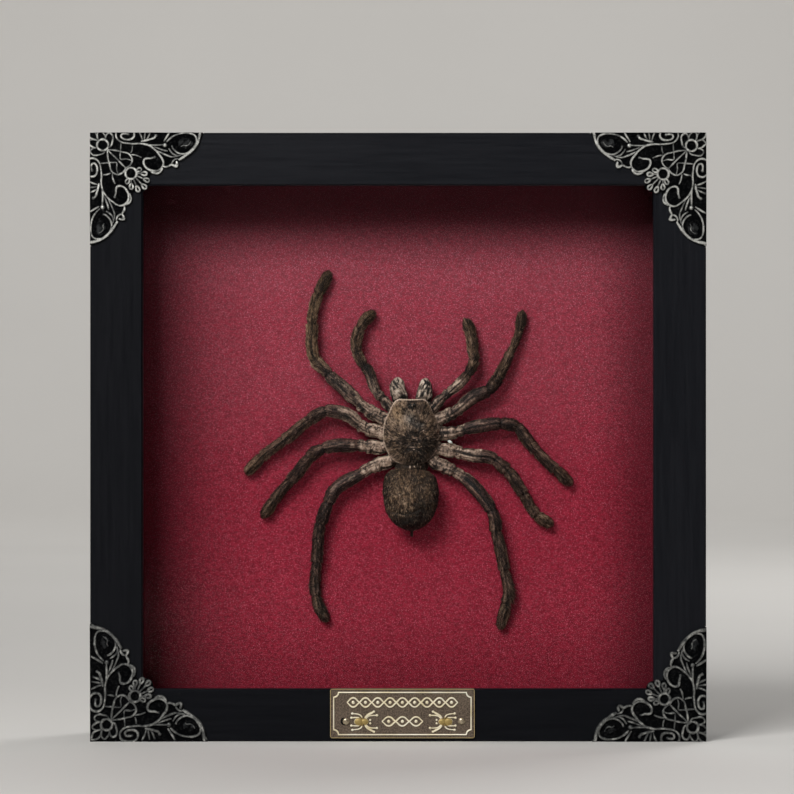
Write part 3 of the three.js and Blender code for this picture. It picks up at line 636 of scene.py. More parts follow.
DIAGONAL_STROKES = [
    (0.33, [(1.5, 1.5), (3.0, 3.0), (4.6, 4.5), (6.0, 5.95), (7.4, 7.4)]),
    (0.34, [(-1.7, -1.9), (-1.95, -3.2), (-2.6, -4.3), (-3.8, -4.9), (-5.0, -5.0)]),
]
LOBE_STROKES = [
    # flower petals
    (0.34, [(-1.3, -1.5), (-1.8, -3.0), (-1.5, -4.2), (-0.7, -4.7), (0.1, -4.1), (0.8, -3.0), (0.9, -1.7)]),
    (0.34, [(0.9, -1.7), (1.2, -3.3), (2.0, -4.0), (2.95, -3.6), (3.4, -2.6), (3.2, -1.2), (2.7, 0.3),
            (1.7, 0.9)]),
    # panel between the two rings, with its cross bars
    (0.34, [(1.6, 1.5), (3.2, 1.65), (4.8, 1.85), (6.5, 2.3), (8.3, 2.75), (9.3, 3.7), (9.75, 4.9),
            (9.4, 6.1), (8.4, 7.2), (7.4, 7.6)]),
    (0.30, [(6.05, -0.6), (5.95, 0.8), (5.85, 2.0), (5.75, 3.5), (5.9, 4.6), (6.8, 4.7), (7.8, 4.6),
            (9.5, 5.05)]),
    (0.32, [(9.8, 0.3), (9.7, 1.5), (9.3, 2.6)]),
    (0.32, [(9.3, 3.15), (10.3, 3.25), (11.4, 3.5), (12.8, 4.1)]),
    # long stem: from the spiral at the edge into the round scroll
    (0.38, [(8.3, -3.6), (7.3, -3.75), (6.4, -3.6), (6.05, -2.9), (6.6, -2.15), (7.9, -1.8), (9.2, -1.9),
            (10.1, -2.5), (10.4, -3.5), (9.9, -4.8), (8.6, -5.6), (6.6, -5.6), (5.0, -5.0), (4.4, -3.9),
            (4.5, -2.6), (5.2, -1.6), (6.3, -0.9), (8.0, -0.6), (10.2, -0.4), (12.0, -0.5), (13.8, -0.3),
            (15.4, 0.2), (16.7, 1.1), (17.8, 2.1), (18.8, 3.4), (19.7, 4.7), (20.0, 5.9), (19.7, 7.0),
            (18.9, 8.0), (17.8, 8.5), (16.5, 8.5), (15.1, 8.0), (14.1, 7.2), (13.6, 6.3), (13.5, 5.4),
            (13.8, 4.7), (14.6, 4.4), (15.8, 4.35), (17.0, 4.0)]),
    (0.42, [(15.9, 8.8), (17.2, 9.3), (18.4, 9.2), (19.2, 8.5), (19.7, 7.6)]),
    # fan of leaves above the stem
    (0.32, [(13.1, -1.5), (12.75, -2.8), (12.3, -3.9), (11.6, -5.2)]),
    (0.30, [(13.7, -1.7), (13.9, -3.2), (14.2, -5.0)]),
    (0.32, [(14.6, -2.0), (15.3, -3.2), (15.7, -4.4)]),
    (0.40, [(12.6, -1.2), (14.2, -1.5), (15.8, -1.95), (17.0, -2.4), (17.5, -3.1)]),
    # leaves below the stem, and the strokes round the bead
    (0.36, [(13.0, -0.4), (15.4, 0.0), (17.8, 0.0), (20.0, -0.1)]),
    (0.30, [(17.0, 0.6), (18.6, 1.2), (20.2, 1.75), (21.4, 2.0)]),
    (0.32, [(17.9, 1.9), (19.6, 2.7), (21.2, 3.4), (22.8, 3.9), (24.3, 3.7), (25.8, 3.3)]),
    (0.36, [(20.2, -1.2), (21.0, -2.5), (21.8, -3.8), (22.5, -5.2)]),
    # link below the round scroll
    (0.42, [(19.8, 6.9), (20.6, 7.2), (21.6, 7.0), (22.8, 6.5), (23.6, 6.9), (24.4, 7.0), (24.5, 6.0),
            (24.3, 5.3)]),
    (0.34, [(22.8, 6.4), (23.1, 5.4), (23.9, 4.7), (25.0, 4.5)]),
    # tear-shaped eye with a curl in it, and the thick band that closes the lobe
    (0.36, [(21.0, -1.0), (22.0, -2.0), (23.4, -3.0), (25.2, -3.7), (27.2, -3.95), (29.2, -3.75),
            (30.6, -2.9), (31.0, -1.4), (30.7, 0.1), (29.6, 1.5), (28.2, 2.5), (26.6, 2.95), (25.2, 2.75),
            (24.0, 2.0), (23.1, 1.0), (22.8, 0.2)]),
    (0.30, [(21.8, 1.1), (22.5, 2.2), (23.4, 3.1), (24.8, 3.5)]),
    (0.24, [(25.8, 0.5), (26.6, 0.1), (27.6, 0.25), (28.5, -0.3), (29.1, -1.3)]),
    (0.56, [(32.3, -5.6), (32.0, -3.4), (31.7, -1.9), (31.1, -0.5), (30.2, 0.9), (29.1, 2.1), (27.9, 3.1),
            (26.4, 4.1), (25.1, 4.9)]),
    (0.30, [(31.9, -3.4), (32.6, -4.3), (33.2, -5.2)]),
]
LOBE_BEADS = [
    (8.3, -3.6, 0.6), (17.5, -3.1, 0.65), (15.8, -4.5, 0.5), (20.5, 0.0, 0.85), (17.1, 4.0, 0.55),
    (24.2, 6.9, 0.82), (22.9, 0.3, 0.45), (9.8, 0.3, 0.4),
]
# petals of the fan in one half: their turn from the edge's direction, and how far they reach
FAN_PETALS = [(-24, 3.7), (1, 5.2), (23, 6.5)]
FAN_MIDDLE = (45, 7.0)
EYE_CUSHION = ((27.4, -0.6), (2.6, 1.9))


def ring(middle, radius=RING, count=12):
    turns = [2 * math.pi * step / count for step in range(count)]
    return [(middle + radius * math.cos(turn), middle + radius * math.sin(turn)) for turn in turns]


def fan_petal(turn, reach):
    """A petal of the fan: a dash that leaves the ring, and a long loop at its tip."""
    ahead_p, ahead_q = math.cos(math.radians(turn)), math.sin(math.radians(turn))
    start = reach - 1.9

    def at(along, beside=0.0):
        return FAN_PLACE + ahead_p * along - ahead_q * beside, FAN_PLACE + ahead_q * along + ahead_p * beside
    loop = [at(start), at(start + 0.6, 0.45), at(reach - 0.5, 0.55), at(reach), at(reach - 0.5, -0.55),
            at(start + 0.6, -0.45)]
    return [(0.38, [at(RING + 0.2), at(start - 0.15)], False), (0.37, loop, True)]


def weighed(strokes, weight, order=1):
    """Strokes with thicker wires, mirrored across the diagonal if the order is -1."""
    return [(radius * weight, [spot[::order] for spot in points], closed)
            for radius, points, closed in strokes]


def half_pattern(name, ground_top, weight=1.0, order=1):
    """Wires and beads of one lobe, standing on the ground plate."""
    strokes = [(radius, points, False) for radius, points in LOBE_STROKES]
    for petal in FAN_PETALS:
        strokes += fan_petal(*petal)
    lift = ground_top + WIRE_LIFT
    parts = [drawn_wires(name, weighed(strokes, weight, order), lift)]
    for *spot, radius in LOBE_BEADS:
        parts.append(dome("bead", (*spot[::order], lift - 0.15), (radius, radius, radius * 0.65)))
    spot, size = EYE_CUSHION
    return parts + [dome("cushion", (*spot[::order], ground_top), (*size[::order], 0.2), 24, 12)]


def middle_pattern(weight):
    """What lies on the diagonal: the flower's ring, the fan's ring, and the strokes between them."""
    strokes = [(radius, points, False) for radius, points in DIAGONAL_STROKES]
    strokes += weighed(strokes[1:], 1, -1) + fan_petal(*FAN_MIDDLE)
    strokes += [(0.42, ring(0), True), (0.42, ring(FAN_PLACE), True)]
    return drawn_wires("middle", weighed(strokes, weight), GROUND_TOP + WIRE_LIFT)


def front_ground():
    half = [(LOBE_OUTLINE[0][0], -BEYOND)] + LOBE_OUTLINE
    outline = half + [spot[::-1] for spot in reversed(half[:-1])] + [(-BEYOND, -BEYOND)]
    return flat_plate("ground", outline, GROUND_TOP, 0.08, 0.3)


def flange_ground():
    outline = [(-BEYOND, -BEYOND), (LOBE_OUTLINE[0][0], -BEYOND)] + FLANGE_OUTLINE
    outline += [(-1.5, 8.3), (-BEYOND, 8.8)]
    return flat_plate("flange_ground", outline, FLANGE_GROUND, 0.06, 0.06)


def flange_wires():
    """The flower's ring and the scalloped lower border of a flange."""
    border = [(p, q - 0.35) for p, q in FLANGE_OUTLINE[10:]] + [(-1.5, 8.0), (-BEYOND, 8.4)]
    return [drawn_wires("flange_ring", [(0.30, ring(0), True)], FLANGE_GROUND),
            drawn_wires("flange_rim", [(0.3, border, False)], FLANGE_GROUND)]


def note_relief(piece, ground_top, crest):
    """How far each vertex stands above the ground plate: 0 in the hollows, 1 on the crests."""
    heights = points_of(piece)[:, 2] / MM
    note(piece, relief=np.clip((heights - ground_top) / crest, 0, 1.1))


def corner_patterns(weight):
    """The flat front and the flat flange, each made once; the flange is squashed to lie flush."""
    front = joined("front_pattern", [
        *half_pattern("lobe", GROUND_TOP, weight), *half_pattern("lobe_mirrored", GROUND_TOP, weight, -1),
        middle_pattern(weight), front_ground()])
    note_relief(front, GROUND_TOP, FRONT_CREST)
    flange = joined("flange_pattern", [
        *half_pattern("flange_lobe", FLANGE_GROUND), *flange_wires(), flange_ground()])
    cut_off(flange, (0, FLANGE_REACH, 0), (0, 1, 0))
    points = points_of(flange)
    points[:, 2] = np.clip(points[:, 2], 0, (FLANGE_GROUND + FLANGE_CREST) * MM)
    set_points(flange, points)
    note_relief(flange, FLANGE_GROUND, FLANGE_CREST)
    return front, flange


def trimmed(pattern, name, to_side, to_end):
    """A copy of a pattern, cut at the frame's two edges."""
    piece = set_down(name, pattern.data.copy())
    cut_off(piece, (-to_side, 0, 0), (-1, 0, 0))
    cut_off(piece, (0, -to_end, 0), (0, -1, 0))
    return piece


def folded_corner(name, front_pattern, flange_pattern):
    """One corner: the front pattern cut at the frame's edges, and a flange folded back over each side."""
    to_side, to_end = FLOWER_PLACES[name]
    inwards = Vector((1 if name.endswith("left") else -1, 0, 0))
    upwards = Vector((0, 0, 1 if name.startswith("bottom") else -1))
    corner = Vector((-inwards.x * FRAME_HALF_WIDTH, RAIL_FRONT, 0 if upwards.z > 0 else FRAME_HEIGHT))
    back = Vector((0, 1, 0))
    front = trimmed(front_pattern, "front", to_side, to_end)
    place_flat(front, corner + inwards * to_side + upwards * to_end, inwards, upwards)
    parts = [front]
    for side, run, out, along, depth in (("end", inwards, -upwards, to_side, to_end),
                                         ("side", upwards, -inwards, to_end, to_side)):
        flange = trimmed(flange_pattern, side, along, depth)
        start = corner + run * along + back * depth - out * (FLANGE_GROUND + FLANGE_CREST)
        place_flat(flange, start, run, back, out)
        parts.append(flange)
    whole = joined(f"{name}_ornament", parts)
    # painted shade: the relief, and with it the silver, is turned down on the lower corners
    note(whole, relief=noted(whole, "relief") * CORNER_PAINTED_LIGHT[name])
    return whole


def make_corners():
    finish = antique_silver()
    for level, weight in BOLDNESS.items():
        patterns = corner_patterns(weight)
        for name in FLOWER_PLACES:
            if name.startswith(level):
                piece = smooth(folded_corner(name, *patterns), 50)
                finished(piece, finish, "antique_silver", f"corner_{name}")
        for pattern in patterns:
            bpy.data.objects.remove(pattern)


# --- name plate ---

# middle of the plate, its size, and the heights of its ground and rim
PLATE_X = 1.4
PLATE_Z = 9.3
PLATE_WIDTH = 47.6
PLATE_HEIGHT = 16.2
PLATE_GROUND = 0.6
PLATE_RIM = 0.8
PLATE_CORNER = 0.6
PLATE_FRONT = RAIL_FRONT - 0.05
BORDER_INSET = 1.15
SCOOP = 1.6
NAIL_PLACES = {"left": (-17.2, 6.7), "right": (20.9, 6.8)}
LITTLE_SPIDERS = ((-11.5, 6.6, 1), (15.0, 6.6, -1))
LITTLE_LEGS = [
    (0.42, [(0.4, 0.7), (1.1, 1.9), (2.4, 2.7), (3.5, 3.3)]),
    (0.26, [(0.7, 0.6), (1.6, 1.7), (2.4, 2.0), (4.5, 2.1)]),
    (0.26, [(-0.2, 0.7), (-0.7, 1.9), (-1.2, 2.3), (-3.6, 2.7)]),
    (0.26, [(-0.5, 0.5), (-1.3, 1.2), (-2.0, 1.35), (-3.9, 1.3)]),
]
# rows of ornament: height above the plate's middle, length, and eyes
TWISTED_ROWS = ((3.65, 36.5, 9), (-2.6, 13.5, 3))
ROW_HEIGHT = 3.0


def scooped_border():
    """A rectangular wire whose corners are hollowed."""
    wide = PLATE_WIDTH / 2 - BORDER_INSET
    high = PLATE_HEIGHT / 2 - BORDER_INSET
    points = []
    for right, up in ((1, 1), (-1, 1), (-1, -1), (1, -1)):
        arc = [(right * (wide - SCOOP * math.cos(turn)), up * (high - SCOOP * math.sin(turn)))
               for turn in (0, math.pi / 8, math.pi / 4, 3 * math.pi / 8, math.pi / 2)]
        points += arc[::-1] if right * up > 0 else arc
    curve = new_curve("border", 0.3, 2, dimensions="3D")
    add_line(curve, points, PLATE_GROUND + 0.08, kind="POLY")
    return as_mesh("border", curve)


def twisted_row(middle, length, eyes):
    """Two waves twisted round each other with a bead in every eye: a common border ornament."""
    steps = range(2 * eyes + 1)
    xs = [length * (step / (2 * eyes) - 0.5) for step in steps]
    strokes = [(0.32, [(x, side * ROW_HEIGHT / 2 * math.sin(step * math.pi / 2) + middle)
                       for x, step in zip(xs, steps)], False) for side in (1, -1)]
    beads = [dome("row_bead", (x, middle, PLATE_GROUND), (0.55, 0.6, 0.45)) for x in xs[1::2]]
    return [drawn_wires("twisted_row", strokes, PLATE_GROUND + 0.08, 6), *beads]


def little_spider(x, z, facing):
    """A raised spider seen from above, its head towards the plate's middle; each leg ends in a knob."""
    lift = PLATE_GROUND + 0.1
    strokes, parts = [], []
    for mirror in (1, -1):
        for radius, leg in LITTLE_LEGS:
            points = [(x + facing * across, z + mirror * up) for across, up in leg]
            strokes.append((radius, points, False))
            parts.append(dome("knob", (*points[-1], lift), (0.46, 0.42, 0.45)))
        parts.append(dome("palp", (x + facing * 2.3, z + mirror * 0.55, lift), (0.38, 0.38, 0.4)))
    head = dome("little_head", (x + facing * 0.5, z, PLATE_GROUND), (1.35, 1.05, 0.5), 16, 10)
    sac = dome("little_abdomen", (x - facing * 1.6, z, PLATE_GROUND), (1.5, 1.25, 0.55), 16, 10)
    return [*parts, drawn_wires("little_legs", strokes, lift), head, sac]


def plate_base():
    """The bare plate: a raised rim round its lower ground."""
    bpy.ops.mesh.primitive_cube_add(size=1, location=(0, 0, PLATE_RIM / 2 * MM))
    base = bpy.context.object
    base.scale = Vector((PLATE_WIDTH, PLATE_HEIGHT, PLATE_RIM)) * MM
    settle(base)
    with editing_some(base, "EDGE", lambda heights: max(heights) - min(heights) > PLATE_RIM / 2 * MM):
        bpy.ops.mesh.bevel(offset=PLATE_CORNER * MM, segments=4, affect="EDGES")
    with editing_some(base, "FACE", lambda heights: min(heights) > PLATE_RIM / 2 * MM):
        for inset, drop in ((0.12, 0), (0.16, 0), (0.12, PLATE_RIM - PLATE_GROUND)):
            bpy.ops.mesh.inset(thickness=inset * MM, depth=-drop * MM)
    return base


def note_plate_relief(plate):
    """Gold on the relief and a little on the rim's edge, there as a painted highlight, and bronze on the
    little spiders' bodies.
    """
    x, y, z = points_of(plate).T / MM
    relief = np.clip((z - PLATE_GROUND) / 0.2, 0, 1)
    inside = np.maximum(np.abs(x) - PLATE_WIDTH / 2, np.abs(y) - PLATE_HEIGHT / 2)
    relief[inside > -0.45] = 0.1
    # painted highlight: a lighter band along the rim's outer edge
    relief[inside > -0.20] = 0.62
    for spider_x, spider_z, facing in LITTLE_SPIDERS:
        off = np.hypot(x - (spider_x - PLATE_X) + facing * 0.7, (y - (spider_z - PLATE_Z)) * 1.6)
        relief[off < 2.3] = np.minimum(relief[off < 2.3], 0.52)
    note(plate, relief=relief)


def make_name_plate():
    parts = [plate_base(), scooped_border()]
    for row in TWISTED_ROWS:
        parts += twisted_row(*row)
    for x, z, facing in LITTLE_SPIDERS:
        parts += little_spider(x - PLATE_X, z - PLATE_Z, facing)
    plate = joined("name_plate_relief", parts)
    note_plate_relief(plate)
    place_flat(plate, (PLATE_X, PLATE_FRONT, PLATE_Z))
    finished(smooth(plate, 40), dark_brass(), "dark_brass", "name_plate")


def make_plate_nails():
    """Domed heads with a short shank below each; the left one sits beside its hole, whose shade is painted on
    a thin dark disc.
    """
    finish = nail_brass()
    for side, (x, z) in NAIL_PLACES.items():
        head = dome(f"plate_nail_{side}_head", (0, 0, 0.8), (1.15, 1.15, 0.62), 32, 16)
        bpy.ops.mesh.primitive_cylinder_add(vertices=24, radius=0.45 * MM, depth=5.6 * MM,
                                            location=(0, 0, -1.8 * MM))
        nail = joined(f"plate_nail_{side}_turned", [head, settle(bpy.context.object)])
        place_flat(nail, (x, PLATE_FRONT, z))
        finished(smooth(nail, 50), finish, "nail_brass", f"plate_nail_{side}")
    # painted shade: a thin dark disc stands for the shadowed inside of the left nail's hole
    hole = dome("nail_hole_shade", (0, 0, 0), (1.05, 1.25, 0.06), 32, 8)
    x, z = NAIL_PLACES["left"]
    place_flat(hole, (x - 0.75, PLATE_FRONT - PLATE_GROUND, z))
    finished(smooth(hole, 50), painted_hole_shade(), "dark_brass")


# --- spider: measures ---

# the middle of the spider in the frame
SPIDER_X = 4.5
SPIDER_Z = 101.5
# shell: heights above the paper, middle, right half of its outline, and the places of its marks
RIM_HEIGHT = 6.3
SHELL_TOP = 10.1
SHELL_MIDDLE = (-0.2, 0.5)
SHELL_OUTLINE = [(0, 11.3), (2.2, 11.4), (4.6, 11.5), (5.95, 9.9), (7.3, 7.0), (8.6, 4.5), (9.25, 2.0),
                 (9.4, 0), (9.2, -2.5), (8.6, -4.8), (7.4, -7.2), (5.6, -9.3), (3.2, -10.3), (0, -10.6)]
EYE_MOUND = (0.2, 9.3)
FOVEA = (0.3, -2.9)
# sac: middle, right half of its outline, and its lowest and highest points
SAC_MIDDLE = (-0.2, -22.0)
SAC_OUTLINE = [(1.5, -12.3), (5.6, -12.7), (7.9, -14.6), (8.8, -17.6), (9.0, -21.2), (8.5, -24.8),
               (7.6, -27.4), (6.0, -29.6), (3.7, -31.4), (1.8, -32.2), (0, -32.4)]
SAC_HEIGHTS = (1.0, 13.4)
# jaws: from root to tip, the middle's x, and half the width
JAWS = {
    "left": [(8.4, -3.7, 2.4), (11.8, -3.9, 2.8), (14.2, -4.5, 2.7), (15.9, -4.75, 2.5),
             (17.55, -4.66, 2.1), (18.8, -4.6, 1.6)],
    "right": [(8.4, 3.8, 2.4), (11.8, 4.1, 2.8), (14.2, 4.5, 2.45), (15.9, 4.6, 2.25), (17.2, 4.6, 1.85),
              (18.5, 4.6, 1.5)],
}
# dark strokes on the jaws: x, y, turn, half length, half width
JAW_STROKES = {
    "left": [(-5.7, 17.0, -50, 0.8, 0.26), (-5.1, 15.9, -50, 0.9, 0.28), (-5.9, 15.1, -60, 0.6, 0.26),
             (-4.4, 17.6, -80, 0.5, 0.2), (-3.1, 11.8, 20, 1.4, 0.9)],
    "right": [(4.6, 17.4, -50, 0.9, 0.28), (4.1, 16.0, 60, 1.2, 0.2), (5.0, 15.4, 60, 1.3, 0.24),
              (5.7, 16.6, -60, 0.9, 0.28), (5.5, 13.9, 75, 1.2, 0.26), (3.6, 13.0, 50, 1.0, 0.4)],
}

# each limb's middle line from the shell's edge to its tip
LIMB_ROUTES = {
    "palp_left": [(-6.6, 8.1), (-8.8, 10.6), (-12.1, 14.5), (-14.4, 20.4), (-16.5, 23.1), (-18.6, 27.8),
                  (-18.1, 33), (-16, 37.6), (-12.4, 40.8)],
    "palp_right": [(7.5, 8.8), (9.7, 11.3), (14, 15), (18.3, 19.1), (20.6, 23.3), (20.7, 27.9),
                   (19.9, 33.7), (17.9, 38.3)],
    "leg_left_1": [(-9.9, 5.1), (-15, 7.9), (-19.6, 12), (-23.9, 15.9), (-28.1, 20), (-31.9, 23.8),
                   (-33.3, 27.9), (-33.7, 34.6), (-32.8, 42.3), (-30.7, 48), (-27.6, 54.4)],
    "leg_left_2": [(-9.9, 0.1), (-15.9, 2), (-21.3, 5.9), (-26.2, 7.5), (-31.1, 6.6), (-36.5, 2.6),
                   (-42.7, -2.1), (-50.5, -8.2), (-55.5, -13.6)],
    "leg_left_3": [(-10.4, -5), (-17.6, -4.2), (-26.6, -4.5), (-32.6, -6.7), (-36.2, -10.2), (-41.1, -16.6),
                   (-45.5, -21.5), (-50.3, -28.3)],
    "leg_left_4": [(-7.6, -9.7), (-12.6, -11.1), (-18, -14.2), (-24.6, -18.1), (-28.4, -23.9),
                   (-30.9, -31.9), (-31.8, -41.2), (-32.5, -50.4), (-31.6, -57.4), (-28.6, -63.3)],
    "leg_right_1": [(9.9, 5.1), (14.7, 7.3), (20.6, 11.9), (27, 15.6), (30.5, 21.2), (33.3, 26.9),
                    (35.5, 32), (37.1, 37.4), (37.4, 41)],
    "leg_right_2": [(9.9, -0.2), (14.2, 0.3), (20.7, 2), (28.3, 3.2), (34.7, 2.5), (38.4, -1.6), (43.9, -8),
                    (49.7, -13.5), (53.9, -17.2)],
    "leg_right_3": [(9.9, -5.4), (14.2, -6.1), (20.9, -7.5), (27.5, -8.8), (33.1, -13.8), (37.4, -20.4),
                    (41.8, -27.3), (47.5, -30.9)],
    "leg_right_4": [(8.2, -10.2), (14.7, -13), (21.2, -18.1), (26.4, -25.5), (28.9, -34.6), (30.7, -43.7),
                    (32.4, -53.1), (31.7, -57.2), (29.7, -65.9)],
}
# joints in shares of the limb's length; a leg has one more than a palp
LEG_JOINTS = (0.10, 0.147, 0.38, 0.49, 0.69, 0.86)
PALP_JOINTS = (0.13, 0.195, 0.45, 0.58, 0.80)
# heights above the paper and radii: (share of the length, measure)
LEG_HEIGHTS = [(0, 3.8), (0.06, 4.1), (0.14, 4.4), (0.24, 4.7), (0.38, 4.8), (0.5, 4.4), (0.6, 4.0),
               (0.69, 3.6), (0.8, 2.9), (0.86, 2.6), (0.93, 2.3), (1, 2.0)]
LEG_RADII = [(0, 2.3), (0.06, 2.3), (0.093, 2.15), (0.1, 1.75), (0.12, 2.05), (0.14, 2.0), (0.147, 1.65),
             (0.165, 2.0), (0.22, 2.3), (0.28, 2.28), (0.34, 2.1), (0.368, 2.0), (0.38, 1.5),
             (0.395, 1.8), (0.44, 1.95), (0.478, 1.9), (0.49, 1.42), (0.505, 1.66), (0.58, 1.8),
             (0.65, 1.72), (0.682, 1.78), (0.69, 1.25), (0.71, 1.5), (0.78, 1.5), (0.848, 1.6),
             (0.86, 1.18), (0.88, 1.5), (0.93, 1.72), (0.975, 1.5), (1, 1.15)]
THIN_RADII = LEG_RADII[:18] + [(0.55, 1.5), (0.66, 1.4), (0.682, 1.45), (0.69, 1.0), (0.71, 1.05),
                               (0.80, 1.0), (0.848, 1.1), (0.86, 0.95), (0.89, 1.3), (0.94, 1.5),
                               (0.98, 1.25), (1, 0.9)]
PALP_HEIGHTS = [(0, 3.9), (0.2, 4.5), (0.45, 4.7), (0.6, 4.3), (0.8, 3.3), (0.96, 2.4), (1, 2.2)]
PALP_RADII = [(0, 1.85), (0.11, 1.75), (0.13, 1.35), (0.15, 1.65), (0.185, 1.65), (0.195, 1.3),
              (0.22, 1.62), (0.33, 1.75), (0.43, 1.65), (0.45, 1.15), (0.47, 1.45), (0.52, 1.6),
              (0.57, 1.6), (0.58, 1.2), (0.61, 1.5), (0.72, 1.7), (0.79, 1.65), (0.80, 1.25), (0.83, 1.5),
              (0.92, 1.7), (0.98, 1.4), (1, 1.0)]
# where the pale skin of each limb begins and ends to fade, how olive its outer half is, and how much
# lighter its hip, its thigh and its outer half are than the others'
LIMB_TINTS = {
    "palp_left": (0.14, 0.42, 0.55, -0.21, 0, 0.05), "palp_right": (0.32, 0.43, 0.55, -0.24, 0.10, 0.10),
    "leg_left_1": (0.12, 0.40, 0.9, -0.08, -0.05, 0.08), "leg_left_2": (0.14, 0.39, 0.3, 0.02, -0.02, 0.11),
    "leg_left_3": (0.13, 0.20, 0.15, -0.04, -0.02, 0.05), "leg_left_4": (0.12, 0.20, 0.1, 0, -0.07, -0.01),
    "leg_right_1": (0.06, 0.32, 0.5, -0.06, -0.03, 0), "leg_right_2": (0.10, 0.22, 0.1, -0.10, -0.02, 0.08),
    "leg_right_3": (0.23, 0.32, 0.2, 0.05, 0.03, 0.12), "leg_right_4": (0.12, 0.20, 0.2, -0.02, -0.09, 0.05),
}
# darker knees: their share of the length, how dark, how long, and how far the pale skin stays away
DARK_KNEES = {"palp_left": [(0.43, 0.30, 0.9, 1.3)], "palp_right": [(0.47, 0.35, 1.3, 1.6)]}
DARK_TIPS = {"leg_left_1": 0.14, "leg_right_1": 0.14, "palp_right": 0.26}
# points round a limb, millimetres between its rings, and how far it runs on below the shell
AROUND = 44
STEP = 0.22
ROOT = 4.5
# hairs in each coat
HAIRS = {"palp": 6500, "leg": 10500, "carapace": 10500, "waist": 2500, "chelicera": 900, "abdomen": 20000}


# --- spider: shapes ---

def lay(piece, spots):
    """Sets a piece's vertices from (x, y, height) on the paper, in millimetres."""
    x, y, height = spots.T
    set_points(piece, np.column_stack([SPIDER_X + x, PAPER - height, SPIDER_Z + y]) * MM)


def note_skin(piece, ahead, **measures):
    """Notes a skin's measures, kept between 0 and 1, and which way on the paper its hairs point."""
    ahead = np.broadcast_to(ahead, (len(piece.data.vertices), 3))
    ahead = ahead / np.linalg.norm(ahead, axis=1)[:, None]
    note(piece, ahead=np.column_stack([ahead[:, 0], -ahead[:, 2], ahead[:, 1]]),
         **{name: np.clip(values, 0, 1) for name, values in measures.items()})


class Field:
    """A smooth random field between -1 and 1."""

    def __init__(self, rng):
        self.values = rng.uniform(-1, 1, (32, 32, 32))

    def once(self, places):
        low = np.floor(places).astype(int)
        part = places - low
        part = part * part * (3 - 2 * part)
        total = 0
        for corner in np.ndindex(2, 2, 2):
            x, y, z = ((low + corner) % 32).T
            total = total + self.values[x, y, z] * np.where(corner, part, 1 - part).prod(1)
        return total

    def __call__(self, *axes, octaves=2):
        places = np.column_stack(axes)
        total = sum(self.once(places * 2 ** step + 7.3 * step) * 0.6 ** step for step in range(octaves))
        return total * 1.25


def bell(distance, width):
    return np.exp(-((distance / width) ** 2))


def fade(value, start, end):
    part = np.clip((value - start) / (end - start), 0, 1)
    return part * part * (3 - 2 * part)


def smooth_route(route):
    """Points every STEP on a smooth line through the route's corners, and how far along they are."""
    corners = np.array(route, float)
    padded = np.vstack([2 * corners[0] - corners[1], corners, 2 * corners[-1] - corners[-2]])
    t = np.linspace(0, 1, 24, endpoint=False)[:, None]
    runs = [
        0.5 * (2 * start + (end - before) * t + (2 * before - 5 * start + 4 * end - after) * t ** 2
               + (3 * start - before - 3 * end + after) * t ** 3)
        for before, start, end, after in zip(padded, padded[1:], padded[2:], padded[3:])
    ]
    line = np.vstack(runs + [corners[-1:]])
    inwards = line[0] / np.linalg.norm(line[0])
    line = np.vstack([line[0] - inwards * ROOT, line])
    run = np.concatenate([[0], np.cumsum(np.linalg.norm(np.diff(line, axis=0), axis=1))])
    even = np.linspace(0, run[-1], int(run[-1] / STEP) + 1)
    return np.column_stack([np.interp(even, run, line[:, axis]) for axis in (0, 1)]), even - ROOT


def softened(values, width):
    """Rounds off the corners of a run of values."""
    reach = np.arange(-3 * width, 3 * width + 1)
    weights = np.exp(-((reach / width) ** 2))
    padded = np.concatenate([np.full(3 * width, values[0]), values, np.full(3 * width, values[-1])])
    return np.convolve(padded, weights / weights.sum(), mode="valid")


def limb_line(name, field, shift):
    """At each step of a limb: how far along it is, its radius and middle, and which way is ahead and up."""
    palp = name.startswith("palp")
    radii = PALP_RADII if palp else THIN_RADII if name == "leg_right_1" else LEG_RADII
    route, run = smooth_route(LIMB_ROUTES[name])
    share = np.clip(run / run[-1], 0, 1)
    height = softened(np.interp(share, *np.transpose(PALP_HEIGHTS if palp else LEG_HEIGHTS)), 10)
    radius = softened(np.interp(share, *np.transpose(radii)), 1)
    for from_end, rounding in ((run + ROOT, 1.5), (run[-1] - run, 1.6)):
        radius = radius * np.sqrt(1 - (1 - np.clip(from_end / rounding, 0, 1)) ** 2)
    sway = np.column_stack([field(run * 0.22 + shift, run * 0, run * 0 + part, octaves=1) for part in (0, 5)])
    middle = np.column_stack([route + 0.22 * sway * fade(share, 0.1, 0.3)[:, None], height])
    ahead = np.gradient(middle, axis=0)
    ahead /= np.linalg.norm(ahead, axis=1)[:, None]
    across = np.cross(ahead, (0, 0, 1))
    across /= np.linalg.norm(across, axis=1)[:, None]
    return run, share, radius, middle, ahead, across, np.cross(across, ahead)


